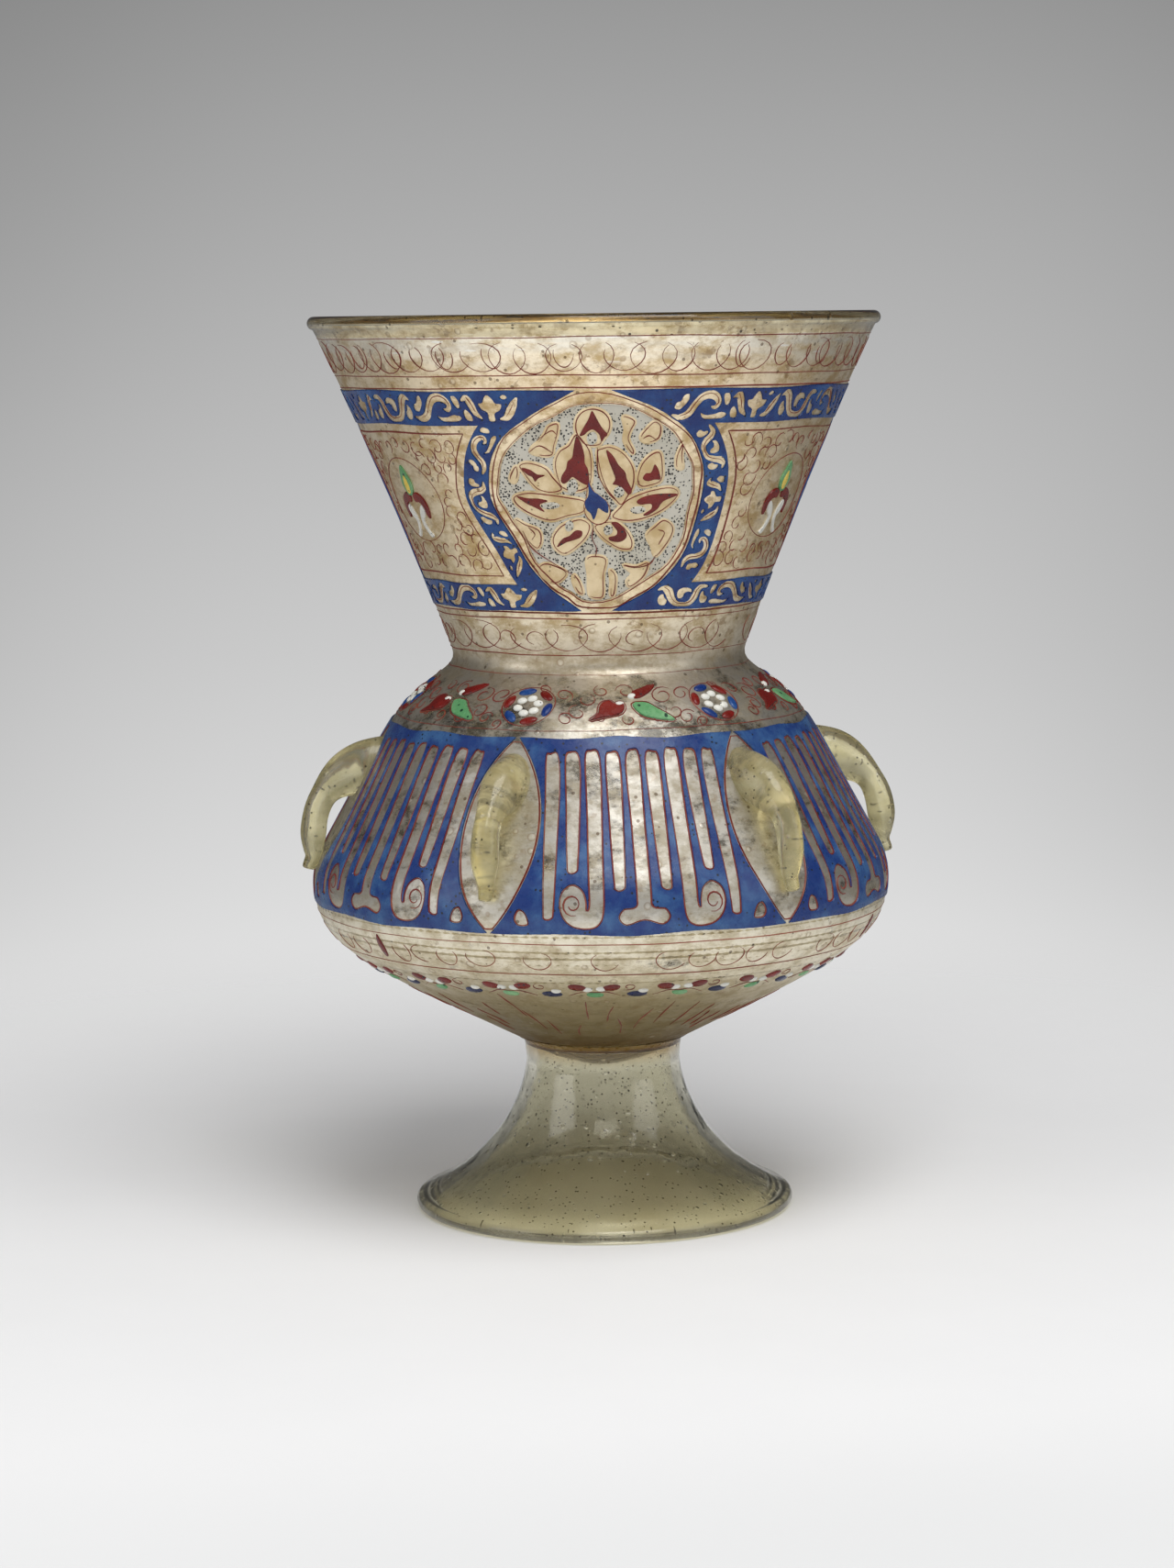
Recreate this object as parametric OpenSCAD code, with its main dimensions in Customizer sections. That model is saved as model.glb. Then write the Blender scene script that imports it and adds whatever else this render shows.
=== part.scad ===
// Hanging glass lamp with a flaring neck, a wide bulb, a funnel foot and six suspension loops.
// Millimetres. Origin at the centre of the foot's resting ring, +Z up, loop 1 on +X.

/* [Body] */
// Height from the resting ring to the top of the lip
lamp_h = 320; // [280:1:380]
// Outer radius of the mouth just under the lip, as a share of the belly's radius
mouth_share = 0.976; // [0.86:0.002:1.1]
// Radius of the round bead that finishes the lip
lip_bead_r = 2.4; // [1.8:0.1:3.2]
// How far the side of the neck bows inwards
neck_hollow = 3.5; // [0:0.5:6]
// Outer radius of the waist, before its fillet
waist_r = 50.5; // [44:0.5:58]
// Height of the waist
waist_z = 198.5; // [190:0.5:206]
// Length of the waist's fillet on either side
waist_round = 5; // [3:0.5:8]
// Slope of the shoulder under the waist, from vertical
shoulder_top_angle = 52; // [46:1:60]
// How long the shoulder keeps its upper slope
shoulder_top_pull = 27.5; // [18:0.5:34]
// Slope of the shoulder above the belly, from vertical
shoulder_low_angle = 29; // [22:1:34]
// How long the shoulder keeps its lower slope
shoulder_low_pull = 60; // [30:1:62]
// Outer radius of the belly, the widest place of the bulb
belly_r = 102.5; // [98:0.5:112]
// Height of the belly
belly_z = 119; // [112:0.5:124]
// Length of the belly's rounding, above its widest place
belly_round = 7; // [4:0.5:10]
// How long the underside stays near vertical below the belly
under_top_pull = 21.5; // [15:0.5:27]
// How long the underside keeps its cone slope above the foot
under_low_pull = 69.5; // [50:0.5:72]
// Slope of the underside's cone, from vertical
under_angle = 62.5; // [58:0.5:66]
// Radius at which the cone turns into the bulb's rounded bottom
bottom_r = 25; // [22:0.5:30]
// Height of the cone at that radius
bottom_z = 59.5; // [56:0.5:62]
// Drop of the rounded bottom below the cone's end
bottom_drop = 7.5; // [5:0.5:9]
// Glass thickness of the body
body_wall = 3; // [2.2:0.1:4]

/* [Foot] */
// Outer radius of the foot's edge
foot_r = 68; // [60:0.5:76]
// Radius of the rounding of the foot's edge
foot_edge_round = 2.6; // [2:0.1:3.4]
// Width of the flat resting ring
foot_ring_w = 4.5; // [3:0.5:7]
// Outer radius of the collar that joins the bulb
collar_r = 27.5; // [26:0.5:34]
// Height at which the collar starts to flare
collar_z = 56; // [48:0.5:57]
// How long the flare stays near vertical
flare_top_pull = 12.5; // [8:0.5:18]
// How long the flare keeps its slope above the edge
flare_low_pull = 33.5; // [22:0.5:38]
// Slope of the foot near its edge, from horizontal
flare_angle = 23.5; // [18:0.5:30]
// Glass thickness of the foot
foot_wall = 3.6; // [2.6:0.1:4.4]

/* [Suspension loops] */
// Height of the root's centre above the belly
loop_root_rise = 41; // [38:1:50]
// Height of the tail's end above the belly
loop_tail_rise = 6; // [3:0.5:10]
// Clear gap between loop and shoulder, for a hook or chain
loop_gap = 4.4; // [4:0.1:7]
// Thickness of the glass trail, away from the body
trail_t = 9.8; // [7:0.2:12]
// Width of the glass trail, round the body
trail_w = 9.4; // [7:0.2:12]
// Height of the root pad on the shoulder
root_h = 19.5; // [16:0.5:25]
// Width of the root pad on the shoulder
root_w = 16; // [13:0.5:21]
// Thickness of the tail's end
tail_t = 4.6; // [3:0.2:6]

/* [Enamel] */
// Height of the fired enamel above the glass
enamel_t = 0.5; // [0.3:0.05:0.9]
// Height of the enamelled neck band, which sets the size of its medallions
neck_band_h = 75.6; // [66:0.2:78]
// Place of the neck band's middle between waist and mouth
neck_band_share = 0.49; // [0.45:0.005:0.53]
// Height of the neck band's upper border
neck_border_top = 11.5; // [8:0.5:15]
// Height of the neck band's lower border
neck_border_low = 9; // [7:0.5:12]
// Width of the blue strap round each medallion
strap_w = 9.5; // [6:0.5:11]
// Width of the gilded ring inside each medallion
medallion_ring = 3.2; // [2.4:0.2:4.4]
// Drop of the shoulder band's upper edge below the waist
shoulder_band_drop = 21.5; // [18:0.5:26]
// Drop of the shoulder band's lower edge below the belly
belly_band_drop = 5; // [3:0.5:8]
// Blue margin between the band's edges and the bars
bar_margin = 5.5; // [3.5:0.5:8]
// Angle from one reserved bar to the next
bar_pitch_angle = 4.7; // [4.4:0.1:5]
// Width of a reserved bar at its foot
bar_w = 4.6; // [3.6:0.1:5]
// Width of the pointed oval round each loop
cartouche_w = 28; // [24:0.5:30]
// Length of a petal of the medallion flower, as a share of the medallion's radius
petal_share = 0.4; // [0.3:0.01:0.44]
// Radius of a white enamel dot
dot_r = 1.5; // [1:0.1:1.9]
// Length of a leaf in the shoulder's flower band
leaf_l = 11; // [8:0.5:13]
// Drop of the belly's flower row below the belly
flower_row_drop = 26.5; // [23:0.5:32]

/* [Oil insert] */
// Outer radius of the oil cup at its rim
cup_rim_r = 23; // [19:0.5:30]
// Outer radius of the oil cup at its base
cup_base_r = 15; // [12:0.5:18]
// Height of the oil cup
cup_h = 54; // [44:1:64]
// Glass thickness of the oil cup
cup_wall = 2; // [1.5:0.1:3]
// Thickness of the oil cup's base
cup_base_t = 4; // [3:0.5:6]
// Thickness of the wick holder's plate
holder_t = 1.2; // [0.8:0.1:2]
// Bore radius of the wick tube
wick_bore_r = 2.4; // [1.8:0.1:3]
// Wall of the wick tube
wick_tube_wall = 0.8; // [0.6:0.1:1.2]
// Length of the wick tube below the plate
wick_tube_l = 26; // [18:1:34]
// Height of the wick tube above the plate
wick_tube_top = 4; // [3:0.5:7]
// Length of bare wick above and below the tube
wick_bare = 3; // [2:0.5:4]

/* [Hidden] */
$fn = 120;

// Counts that follow the object's layout
LOOPS = 6;
MEDALLIONS = 3;
BARS_BETWEEN_LOOPS = 9;
MEDALLION_PETALS = 9;
BELLY_FLOWERS = 18;
HOLDER_HOLES = 3;
// Azimuth of the first medallion
medallion_start_angle = -98;

// Steps along each curve of the profile
neck_steps = 8;
fillet_steps = 4;
shoulder_steps = 10;
belly_steps = 4;
under_steps = 12;
bottom_steps = 5;
foot_steps = 14;
edge_steps = 8;
lip_steps = 14;
loop_rings = 24;
loop_sides = 14;
oval_steps = 6;
egg_steps = 40;

// The bead runs over the lip from the inside of the wall to its outside
lip_inside_angle = 195;
lip_outside_angle = -80;

// Small clearances
seat_gap = 0.3;
rest_gap = 0.1;
wick_gap = 0.1;
holder_lip = 0.8;
// Cutters reach this far past what they cut
over = 4;
// Outward cutters reach this far past the belly
reach = 12;
// The turn of the bulb's bottom keeps at least this radius
bottom_least = 1;

// Curves
function bez2(a, b, c, n) =
    [for (i = [0:n]) let(t = i / n) (1 - t) * (1 - t) * a + 2 * (1 - t) * t * b + t * t * c];
function bez3_at(a, b, c, d, t) =
    pow(1 - t, 3) * a + 3 * pow(1 - t, 2) * t * b + 3 * (1 - t) * t * t * c + pow(t, 3) * d;
function bez3(a, b, c, d, n) = [for (i = [0:n]) bez3_at(a, b, c, d, i / n)];
function rest(list) = [for (i = [1:len(list) - 1]) list[i]];
function reversed(list) = [for (i = [len(list) - 1:-1:0]) list[i]];
function unit(v) = v / norm(v);
function smooth(t) = let(s = min(1, max(0, t))) s * s * (3 - 2 * s);
function mix(a, b, t) = a + (b - a) * t;

// Outline of a turned wall: outward normals of a line that runs downwards, and its offset
function side_normal(a, b) = let(d = unit(b - a)) [-d[1], d[0]];
function point_normal(p, i) =
    i == 0 ? side_normal(p[0], p[1])
    : i == len(p) - 1 ? side_normal(p[i - 1], p[i])
    : unit(side_normal(p[i - 1], p[i]) + side_normal(p[i], p[i + 1]));
function moved_out(p, t) =
    [for (i = [0:len(p) - 1]) let(q = p[i] + t * point_normal(p, i)) [max(0, q[0]), q[1]]];

// Outer profile of the body, from the lip down to the middle of the bulb's bottom
rim_r = mouth_share * belly_r;
rim = [rim_r, lamp_h - lip_bead_r];
waist = [waist_r, waist_z];
neck_foot = waist + waist_round * unit(rim - waist);
shoulder_dir = [sin(shoulder_top_angle), -cos(shoulder_top_angle)];
shoulder_start = waist + waist_round * shoulder_dir;
belly = [belly_r, belly_z];
belly_corner = belly + [0, belly_round];
shoulder_back = [-sin(shoulder_low_angle), cos(shoulder_low_angle)];
shoulder_end = belly_corner + belly_round * shoulder_back;
under_dir = [sin(under_angle), cos(under_angle)];
under_end = [bottom_r, bottom_z];
bottom_mid = [0, bottom_z - bottom_drop];
bottom_turn = [max(bottom_least, bottom_r - bottom_drop * tan(under_angle)), bottom_mid[1]];

neck_curve = bez2(rim, (rim + neck_foot) / 2 - [neck_hollow, 0], neck_foot, neck_steps);
// The lip's bead takes up this share of the curve's first step
lip_share = 0.25;
neck_line = concat([rim, mix(rim, neck_curve[1], lip_share)], rest(neck_curve));
waist_line = bez2(neck_foot, waist, shoulder_start, fillet_steps);
shoulder_line = bez3(shoulder_start, shoulder_start + shoulder_top_pull * shoulder_dir,
                     shoulder_end + shoulder_low_pull * shoulder_back, shoulder_end, shoulder_steps);
belly_line = bez2(shoulder_end, belly_corner, belly, belly_steps);
under_line = bez3(belly, belly - [0, under_top_pull],
                  under_end + under_low_pull * under_dir, under_end, under_steps);
bottom_line = bez2(under_end, bottom_turn, bottom_mid, bottom_steps);
outer = concat(neck_line, rest(waist_line), rest(shoulder_line), rest(belly_line),
               rest(under_line), rest(bottom_line));
inner = moved_out(outer, -body_wall);
outer_table = [for (p = outer) [p[1], p[0]]];
function body_r(z) = lookup(z, outer_table);
function normal_at(z) =
    [for (i = [0:len(outer) - 2]) if (outer[i][1] >= z && outer[i + 1][1] < z)
        side_normal(outer[i], outer[i + 1])][0];
// Height of the underside and of the inner floor at a radius near the middle
under_table = [for (p = concat(under_line, rest(bottom_line))) [p[0], p[1]]];
function under_z(r) = lookup(r, under_table);
floor_table = [for (p = inner) if (p[1] < belly_z) [p[0], p[1]]];
function floor_z(r) = lookup(r, floor_table);

// Levels of the painted bands, from the body's own sizes
medallion_z = mix(waist_z, rim[1], neck_band_share);
medallion_r = neck_band_h / 2;
neck_band_top = medallion_z + medallion_r;
neck_band_low = medallion_z - medallion_r;
shoulder_band_top = waist_z - shoulder_band_drop;
shoulder_band_low = belly_z - belly_band_drop;
flower_band_z = (waist_z + shoulder_band_top) / 2 - waist_round / 2;
flower_row_z = belly_z - flower_row_drop;
bar_top = shoulder_band_top - bar_margin;
bar_low = shoulder_band_low + bar_margin;
loop_step = 360 / LOOPS;
medallion_step = 360 / MEDALLIONS;

// Wall of a band of enamel: the body's own outline between two heights, and its offset
function band_line(low, top) =
    concat([[body_r(top), top]], [for (p = outer) if (p[1] < top && p[1] > low) p], [[body_r(low), low]]);
module skin(low, top) {
    line = band_line(low, top);
    rotate_extrude() polygon(concat(line, reversed(moved_out(line, enamel_t))));
}
// The body's outside as a full solid, for cutting seats
module body_outside() {
    rotate_extrude() polygon(concat([[0, rim[1]]], outer));
}
// A flat outline driven outwards at an azimuth and a height, from just inside a radius
module outwards(azimuth, z, from_r) {
    rotate([0, 0, azimuth]) translate([from_r - over, 0, z]) rotate([90, 0, 90])
        linear_extrude(belly_r + reach + over - from_r) children();
}
// A ring that covers everything between two heights
module level_ring(low, top) {
    translate([0, 0, low]) cylinder(h = top - low, r = belly_r + reach);
}

// Outline of a leaf or petal along +Y from its base, fullest a little below its middle
leaf_fullness = 0.8;
function leaf_side(l, w, side) =
    [for (i = [0:oval_steps]) let(t = i / oval_steps)
        [side * w / 2 * sin(180 * pow(t, leaf_fullness)), l * t]];
module leaf(l, w) {
    polygon(concat(leaf_side(l, w, 1), rest(reversed(rest(leaf_side(l, w, -1))))));
}
// Pointed oval of two equal arcs
function oval_side(h, w, side) =
    let(arc_r = (h * h + w * w) / (4 * w), half = asin(h / 2 / arc_r))
    [for (i = [0:oval_steps]) let(a = side * mix(-half, half, i / oval_steps))
        [side * (arc_r * cos(a) - arc_r + w / 2), arc_r * sin(a)]];
module pointed_oval(h, w) {
    polygon(concat(oval_side(h, w, 1), rest(reversed(rest(reversed(oval_side(h, w, -1)))))));
}
// Egg outline of a medallion, wider above its middle
egg_w = 0.925;
egg_lean = 0.14;
module egg(r) {
    polygon([for (i = [0:egg_steps - 1]) let(a = 360 * i / egg_steps)
        r * [egg_w * cos(a) * (1 + egg_lean * sin(a)), sin(a)]]);
}
// Upright bar between two radial faces
module bar_sector(azimuth, angle, low, top, from_r) {
    rotate([0, 0, azimuth - angle / 2]) rotate_extrude(angle = angle)
        translate([from_r - over, low]) square([belly_r + reach + over - from_r, top - low]);
}
// Small raised disc that lies on the surface at an azimuth and a height
module surface_dot(azimuth, z) {
    n = normal_at(z);
    rotate([0, 0, azimuth]) translate([body_r(z), 0, z]) rotate([0, atan2(n[0], n[1]), 0])
        cylinder(h = enamel_t, r = dot_r);
}

module body() {
    lip_mid = [(rim[0] + inner[0][0]) / 2, rim[1]];
    lip_bead = [for (i = [0:lip_steps]) let(a = mix(lip_inside_angle, lip_outside_angle, i / lip_steps))
                lip_mid + lip_bead_r * [cos(a), sin(a)]];
    color([0.72, 0.68, 0.56, 0.6])
        rotate_extrude() polygon(concat(rest(outer), reversed(rest(inner)), lip_bead));
}

// The hollow's curve ends this far inside the resting ring
hollow_margin = 1;
module foot() {
    edge_mid = [foot_r - foot_edge_round, foot_edge_round];
    edge = edge_mid + foot_edge_round * [sin(flare_angle), cos(flare_angle)];
    collar = [collar_r, collar_z];
    flare = bez3(collar, collar - [0, flare_top_pull],
                 edge + flare_low_pull * [-cos(flare_angle), sin(flare_angle)], edge, foot_steps);
    flare_inside = moved_out(flare, -foot_wall);
    ring_in = edge_mid[0] - foot_ring_w;
    top = under_z(collar_r) + over;
    edge_arc = [for (i = [1:edge_steps]) let(a = mix(90 - flare_angle, -90, i / edge_steps))
                edge_mid + foot_edge_round * [cos(a), sin(a)]];
    hollow = [for (p = reversed(flare_inside)) if (p[0] < ring_in - hollow_margin) p];
    color([0.55, 0.52, 0.4, 0.6]) difference() {
        rotate_extrude() polygon(concat([[collar_r, top]], flare, edge_arc, [[ring_in, 0]],
                                        hollow, [[collar_r - foot_wall, top]]));
        body_outside();
    }
}

// Suspension loop: one glass trail from a broad root on the shoulder to a tail on the belly
root_z = belly_z + loop_root_rise;
tail_z = belly_z + loop_tail_rise;
// The sweep starts this deep inside the shoulder and this far above the root's centre
loop_bury = 18;
loop_start_rise = 3;
// The tail's centre ends this far outside the belly
tail_out = 1;
// Place of the outermost point: along the curve, and between tail and root
crown_t = 0.5;
crown_share = 0.66;
// The curve's two middle points stand this far outside and inside their common radius
middle_pull = 1;
// The upper one lies this far above the root's centre, the lower one at this share of the way up to it
shoulder_pull_rise = 3;
belly_pull_share = 0.5;
// Along the curve the root's size ends, the plain trail starts, and the tail's taper starts
root_until = 0.16;
trail_from = 0.5;
taper_from = 0.72;
// Step for the curve's direction
loop_dt = 0.01;
crown_z = mix(tail_z, root_z, crown_share);
crown_r = body_r(crown_z) + loop_gap + trail_t / 2;
loop_a = [body_r(root_z) - loop_bury, root_z + loop_start_rise];
loop_d = [body_r(tail_z) + tail_out, tail_z];
// The two middle points put the trail's outermost place at the crown
start_weight = pow(1 - crown_t, 3);
end_weight = pow(crown_t, 3);
pull_r = (crown_r - start_weight * loop_a[0] - end_weight * loop_d[0]) / (1 - start_weight - end_weight);
loop_b = [pull_r + middle_pull, root_z + shoulder_pull_rise];
loop_c = [pull_r - middle_pull, mix(tail_z, root_z, belly_pull_share)];
function loop_mid(t) = bez3_at(loop_a, loop_b, loop_c, loop_d, t);
function loop_dir(t) = unit(loop_mid(min(1, t + loop_dt)) - loop_mid(max(0, t - loop_dt)));
function trail_size(t, root, trail, tail) =
    t < trail_from ? mix(root, trail, smooth((t - root_until) / (trail_from - root_until)))
    : mix(trail, tail, smooth((t - taper_from) / (1 - taper_from)));
function loop_ring(t) =
    let(m = loop_mid(t), d = loop_dir(t),
        h = trail_size(t, root_h, trail_t, tail_t) / 2,
        w = trail_size(t, root_w, trail_w, tail_t) / 2)
    [for (k = [0:loop_sides - 1]) let(a = 360 * k / loop_sides)
        [m[0] - d[1] * h * cos(a), w * sin(a), m[1] + d[0] * h * cos(a)]];
loop_points = [for (i = [0:loop_rings]) each loop_ring(i / loop_rings)];
loop_faces = concat(
    [[for (k = [0:loop_sides - 1]) k]],
    [for (i = [0:loop_rings - 1]) for (k = [0:loop_sides - 1]) for (half = [0, 1])
        let(a = i * loop_sides + k, b = i * loop_sides + (k + 1) % loop_sides)
        half == 0 ? [a, a + loop_sides, b] : [b, a + loop_sides, b + loop_sides]],
    [[for (k = [loop_sides - 1:-1:0]) loop_rings * loop_sides + k]]);
module loop(number) {
    color([0.62, 0.6, 0.42, 0.7]) rotate([0, 0, loop_step * (number - 1)]) difference() {
        polyhedron(loop_points, loop_faces);
        body_outside();
    }
}

// Blue neck band: two borders and a strap round each medallion
module medallion_places() {
    for (i = [0:MEDALLIONS - 1])
        outwards(medallion_start_angle + medallion_step * i, medallion_z, body_r(neck_band_low)) children();
}
module neck_blue_enamel() {
    color([0.14, 0.24, 0.58]) difference() {
        skin(neck_band_low, neck_band_top);
        medallion_places() egg(medallion_r);
        difference() {
            level_ring(neck_band_low + neck_border_low, neck_band_top - neck_border_top);
            medallion_places() egg(medallion_r + strap_w);
        }
    }
}

// Flower of the medallion: petals fan out from a heart, the lowest gap stays open
fan_half_angle = 130;
function petal_angle(i) = mix(-fan_half_angle, fan_half_angle, i / (MEDALLION_PETALS - 1));
petal_l = petal_share * medallion_r;
petal_start = 0.21 * medallion_r;
petal_w = 0.165 * medallion_r;
heart_l = 0.37 * medallion_r;
heart_w = 0.21 * medallion_r;
flower_margin = 0.027 * medallion_r;
module petal_fan(grow) {
    for (i = [0:MEDALLION_PETALS - 1])
        rotate(petal_angle(i)) translate([0, petal_start - grow])
            leaf(petal_l + 2 * grow, petal_w + 2 * grow);
}
module heart(grow) {
    translate([0, -heart_l / 2 - grow]) leaf(heart_l + 2 * grow, heart_w + 2 * grow);
}
module medallion_white_grounds() {
    color([0.78, 0.8, 0.78]) difference() {
        intersection() {
            skin(neck_band_low, neck_band_top);
            medallion_places() egg(medallion_r - medallion_ring);
        }
        medallion_places() {
            petal_fan(flower_margin);
            heart(flower_margin);
        }
    }
}
module medallion_red_petals() {
    color([0.38, 0.14, 0.11]) intersection() {
        skin(neck_band_low, neck_band_top);
        medallion_places() petal_fan(0);
    }
}
module medallion_blue_hearts() {
    color([0.14, 0.24, 0.58]) intersection() {
        skin(neck_band_low, neck_band_top);
        medallion_places() heart(0);
    }
}

// Small flower in the middle of each panel: a bud between two curled petals
bud_l = 11;
bud_w = 6;
curl_l = 8;
curl_w = 5;
curl_angle = 112;
curl_start = 1;
bud_start = 2;
module panel_places() {
    rotate([0, 0, medallion_step / 2]) medallion_places() children();
}
module panel_red_petals() {
    color([0.38, 0.12, 0.12]) intersection() {
        skin(neck_band_low, neck_band_top);
        panel_places() for (side = [-1, 1])
            rotate(side * curl_angle) translate([0, curl_start]) leaf(curl_l, curl_w);
    }
}
module panel_green_buds() {
    color([0.2, 0.6, 0.36]) intersection() {
        skin(neck_band_low, neck_band_top);
        panel_places() translate([0, bud_start]) leaf(bud_l, bud_w);
    }
}

// Flower band on the upper shoulder: a rosette over each loop and a leafy spray between
rosette_r = 4;
rosette_rise = 3;
rosette_dots = 6;
spray_turn = 62;
leaf_w = 6;
spray_drop = 1;
spray_start = 1.5;
module spray_leaf(side) {
    for (i = [0:LOOPS - 1])
        outwards(loop_step * (i + 0.5), flower_band_z - spray_drop, waist_r)
            rotate(side * spray_turn) translate([0, spray_start]) leaf(leaf_l, leaf_w);
}
module shoulder_red_leaves() {
    color([0.42, 0.1, 0.1]) intersection() {
        skin(shoulder_band_top, waist_z);
        spray_leaf(1);
    }
}
module shoulder_green_leaves() {
    color([0.25, 0.62, 0.42]) intersection() {
        skin(shoulder_band_top, waist_z);
        spray_leaf(-1);
    }
}
module shoulder_white_dots() {
    turn = 180 / PI * rosette_r / body_r(flower_band_z);
    color([0.92, 0.92, 0.88]) for (i = [0:LOOPS - 1]) {
        surface_dot(loop_step * i, flower_band_z);
        for (k = [0:rosette_dots - 1])
            surface_dot(loop_step * i + turn * cos(360 * k / rosette_dots),
                        flower_band_z + rosette_rise * sin(360 * k / rosette_dots));
    }
}

// Blue shoulder band with upright bars left bare, parted by a pointed oval round each loop
// The ovals run this far past the band's edges
oval_past = 0.1 * bar_margin;
module shoulder_blue_enamel() {
    band_mid = (shoulder_band_low + shoulder_band_top) / 2;
    bars_from = body_r(shoulder_band_top);
    bar_angle = 180 / PI * bar_w / body_r(bar_low);
    middle_bar = (BARS_BETWEEN_LOOPS - 1) / 2;
    color([0.14, 0.24, 0.6]) difference() {
        skin(shoulder_band_low, shoulder_band_top);
        for (i = [0:LOOPS - 1]) {
            outwards(loop_step * i, band_mid, bars_from)
                pointed_oval(shoulder_band_top - shoulder_band_low + 2 * oval_past, cartouche_w);
            for (k = [0:BARS_BETWEEN_LOOPS - 1])
                bar_sector(loop_step * (i + 0.5) + bar_pitch_angle * (k - middle_bar), bar_angle,
                           bar_low, bar_top, bars_from);
        }
    }
}

// Row of small flowers under the belly
belly_step = 360 / BELLY_FLOWERS;
pair_side = 4.2;
pair_split = 4.2;
row_rise = 1.2;
module belly_dots(places, level) {
    for (i = [0:BELLY_FLOWERS - 1])
        for (x = places)
            surface_dot(belly_step * i + x, flower_row_z + level);
}
module belly_red_dots() {
    color([0.4, 0.12, 0.1]) belly_dots([-pair_side, pair_side], row_rise);
}
module belly_white_dots() {
    color([0.92, 0.92, 0.88]) belly_dots([pair_side - pair_split / 2, pair_split / 2 - pair_side], row_rise);
}
module belly_green_dots() {
    color([0.3, 0.55, 0.35]) belly_dots([0], -row_rise);
}
module belly_blue_dots() {
    color([0.1, 0.14, 0.3]) belly_dots([belly_step / 2], -row_rise);
}

// Oil insert: a cup that stands in the bulb, and a wick holder that rests on the cup's rim
cup_z = floor_z(cup_base_r) + seat_gap;
cup_top = cup_z + cup_h;
plate_z = cup_top + rest_gap;
plate_r = cup_rim_r + holder_lip;
tube_r = wick_bore_r + wick_tube_wall;
hole_ring_r = (cup_rim_r - cup_wall + tube_r) / 2;
hole_share = 0.7;
hole_r = (cup_rim_r - cup_wall - tube_r) / 2 * hole_share;
module oil_cup() {
    color([0.8, 0.83, 0.8, 0.5]) rotate_extrude() polygon([
        [0, cup_z], [cup_base_r, cup_z], [cup_rim_r, cup_top], [cup_rim_r - cup_wall, cup_top],
        [cup_base_r - cup_wall, cup_z + cup_base_t], [0, cup_z + cup_base_t]]);
}
module wick_holder() {
    color([0.72, 0.56, 0.28]) difference() {
        union() {
            translate([0, 0, plate_z]) cylinder(h = holder_t, r = plate_r);
            translate([0, 0, plate_z - wick_tube_l])
                cylinder(h = wick_tube_l + holder_t + wick_tube_top, r = tube_r);
        }
        translate([0, 0, plate_z - wick_tube_l - over])
            cylinder(h = wick_tube_l + holder_t + wick_tube_top + 2 * over, r = wick_bore_r);
        for (i = [0:HOLDER_HOLES - 1])
            rotate([0, 0, 360 / HOLDER_HOLES * i]) translate([hole_ring_r, 0, plate_z - over])
                cylinder(h = holder_t + 2 * over, r = hole_r);
    }
}
module wick() {
    color([0.86, 0.82, 0.72]) translate([0, 0, plate_z - wick_tube_l - wick_bare])
        cylinder(h = wick_tube_l + holder_t + wick_tube_top + 2 * wick_bare, r = wick_bore_r - wick_gap);
}

body();
foot();
loop(1);  // loop_1
loop(2);  // loop_2
loop(3);  // loop_3
loop(4);  // loop_4
loop(5);  // loop_5
loop(6);  // loop_6
neck_blue_enamel();
medallion_white_grounds();
medallion_red_petals();
medallion_blue_hearts();
panel_red_petals();
panel_green_buds();
shoulder_red_leaves();
shoulder_green_leaves();
shoulder_white_dots();
shoulder_blue_enamel();
belly_red_dots();
belly_white_dots();
belly_green_dots();
belly_blue_dots();
oil_cup();
wick_holder();
wick();
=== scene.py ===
"""Dress the hanging glass lamp: blown glass, fired enamel, worn gilding and red drawing on one profile.

Sizes are in millimetres in the lamp's own frame and become metres when a mesh is made. Azimuths are degrees
from +X, the direction of the first suspension loop.
"""
import logging
import math
from contextlib import contextmanager
from dataclasses import dataclass
from enum import Enum
from functools import partial
from typing import Any, Iterable, Iterator, Sequence

import bmesh
import bpy
import numpy as np
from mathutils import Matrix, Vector


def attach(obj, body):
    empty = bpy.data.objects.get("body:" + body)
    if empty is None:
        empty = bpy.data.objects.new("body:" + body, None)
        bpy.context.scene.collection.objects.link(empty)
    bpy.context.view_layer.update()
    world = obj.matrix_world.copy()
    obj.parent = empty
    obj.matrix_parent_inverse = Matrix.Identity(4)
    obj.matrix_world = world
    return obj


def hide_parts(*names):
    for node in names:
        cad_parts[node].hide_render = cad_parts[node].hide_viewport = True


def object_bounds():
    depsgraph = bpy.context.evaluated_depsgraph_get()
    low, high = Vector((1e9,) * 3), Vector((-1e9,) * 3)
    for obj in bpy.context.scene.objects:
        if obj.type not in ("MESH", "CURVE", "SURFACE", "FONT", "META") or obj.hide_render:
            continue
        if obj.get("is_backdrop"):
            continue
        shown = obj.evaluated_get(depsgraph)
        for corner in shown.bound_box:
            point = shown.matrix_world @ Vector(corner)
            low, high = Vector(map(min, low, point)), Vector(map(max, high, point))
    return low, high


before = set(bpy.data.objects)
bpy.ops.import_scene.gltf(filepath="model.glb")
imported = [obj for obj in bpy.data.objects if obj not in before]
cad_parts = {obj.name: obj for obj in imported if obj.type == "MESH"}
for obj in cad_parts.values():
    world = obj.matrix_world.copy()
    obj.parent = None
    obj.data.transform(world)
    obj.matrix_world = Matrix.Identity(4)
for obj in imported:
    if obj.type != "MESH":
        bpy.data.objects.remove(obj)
CAD_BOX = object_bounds()

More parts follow.
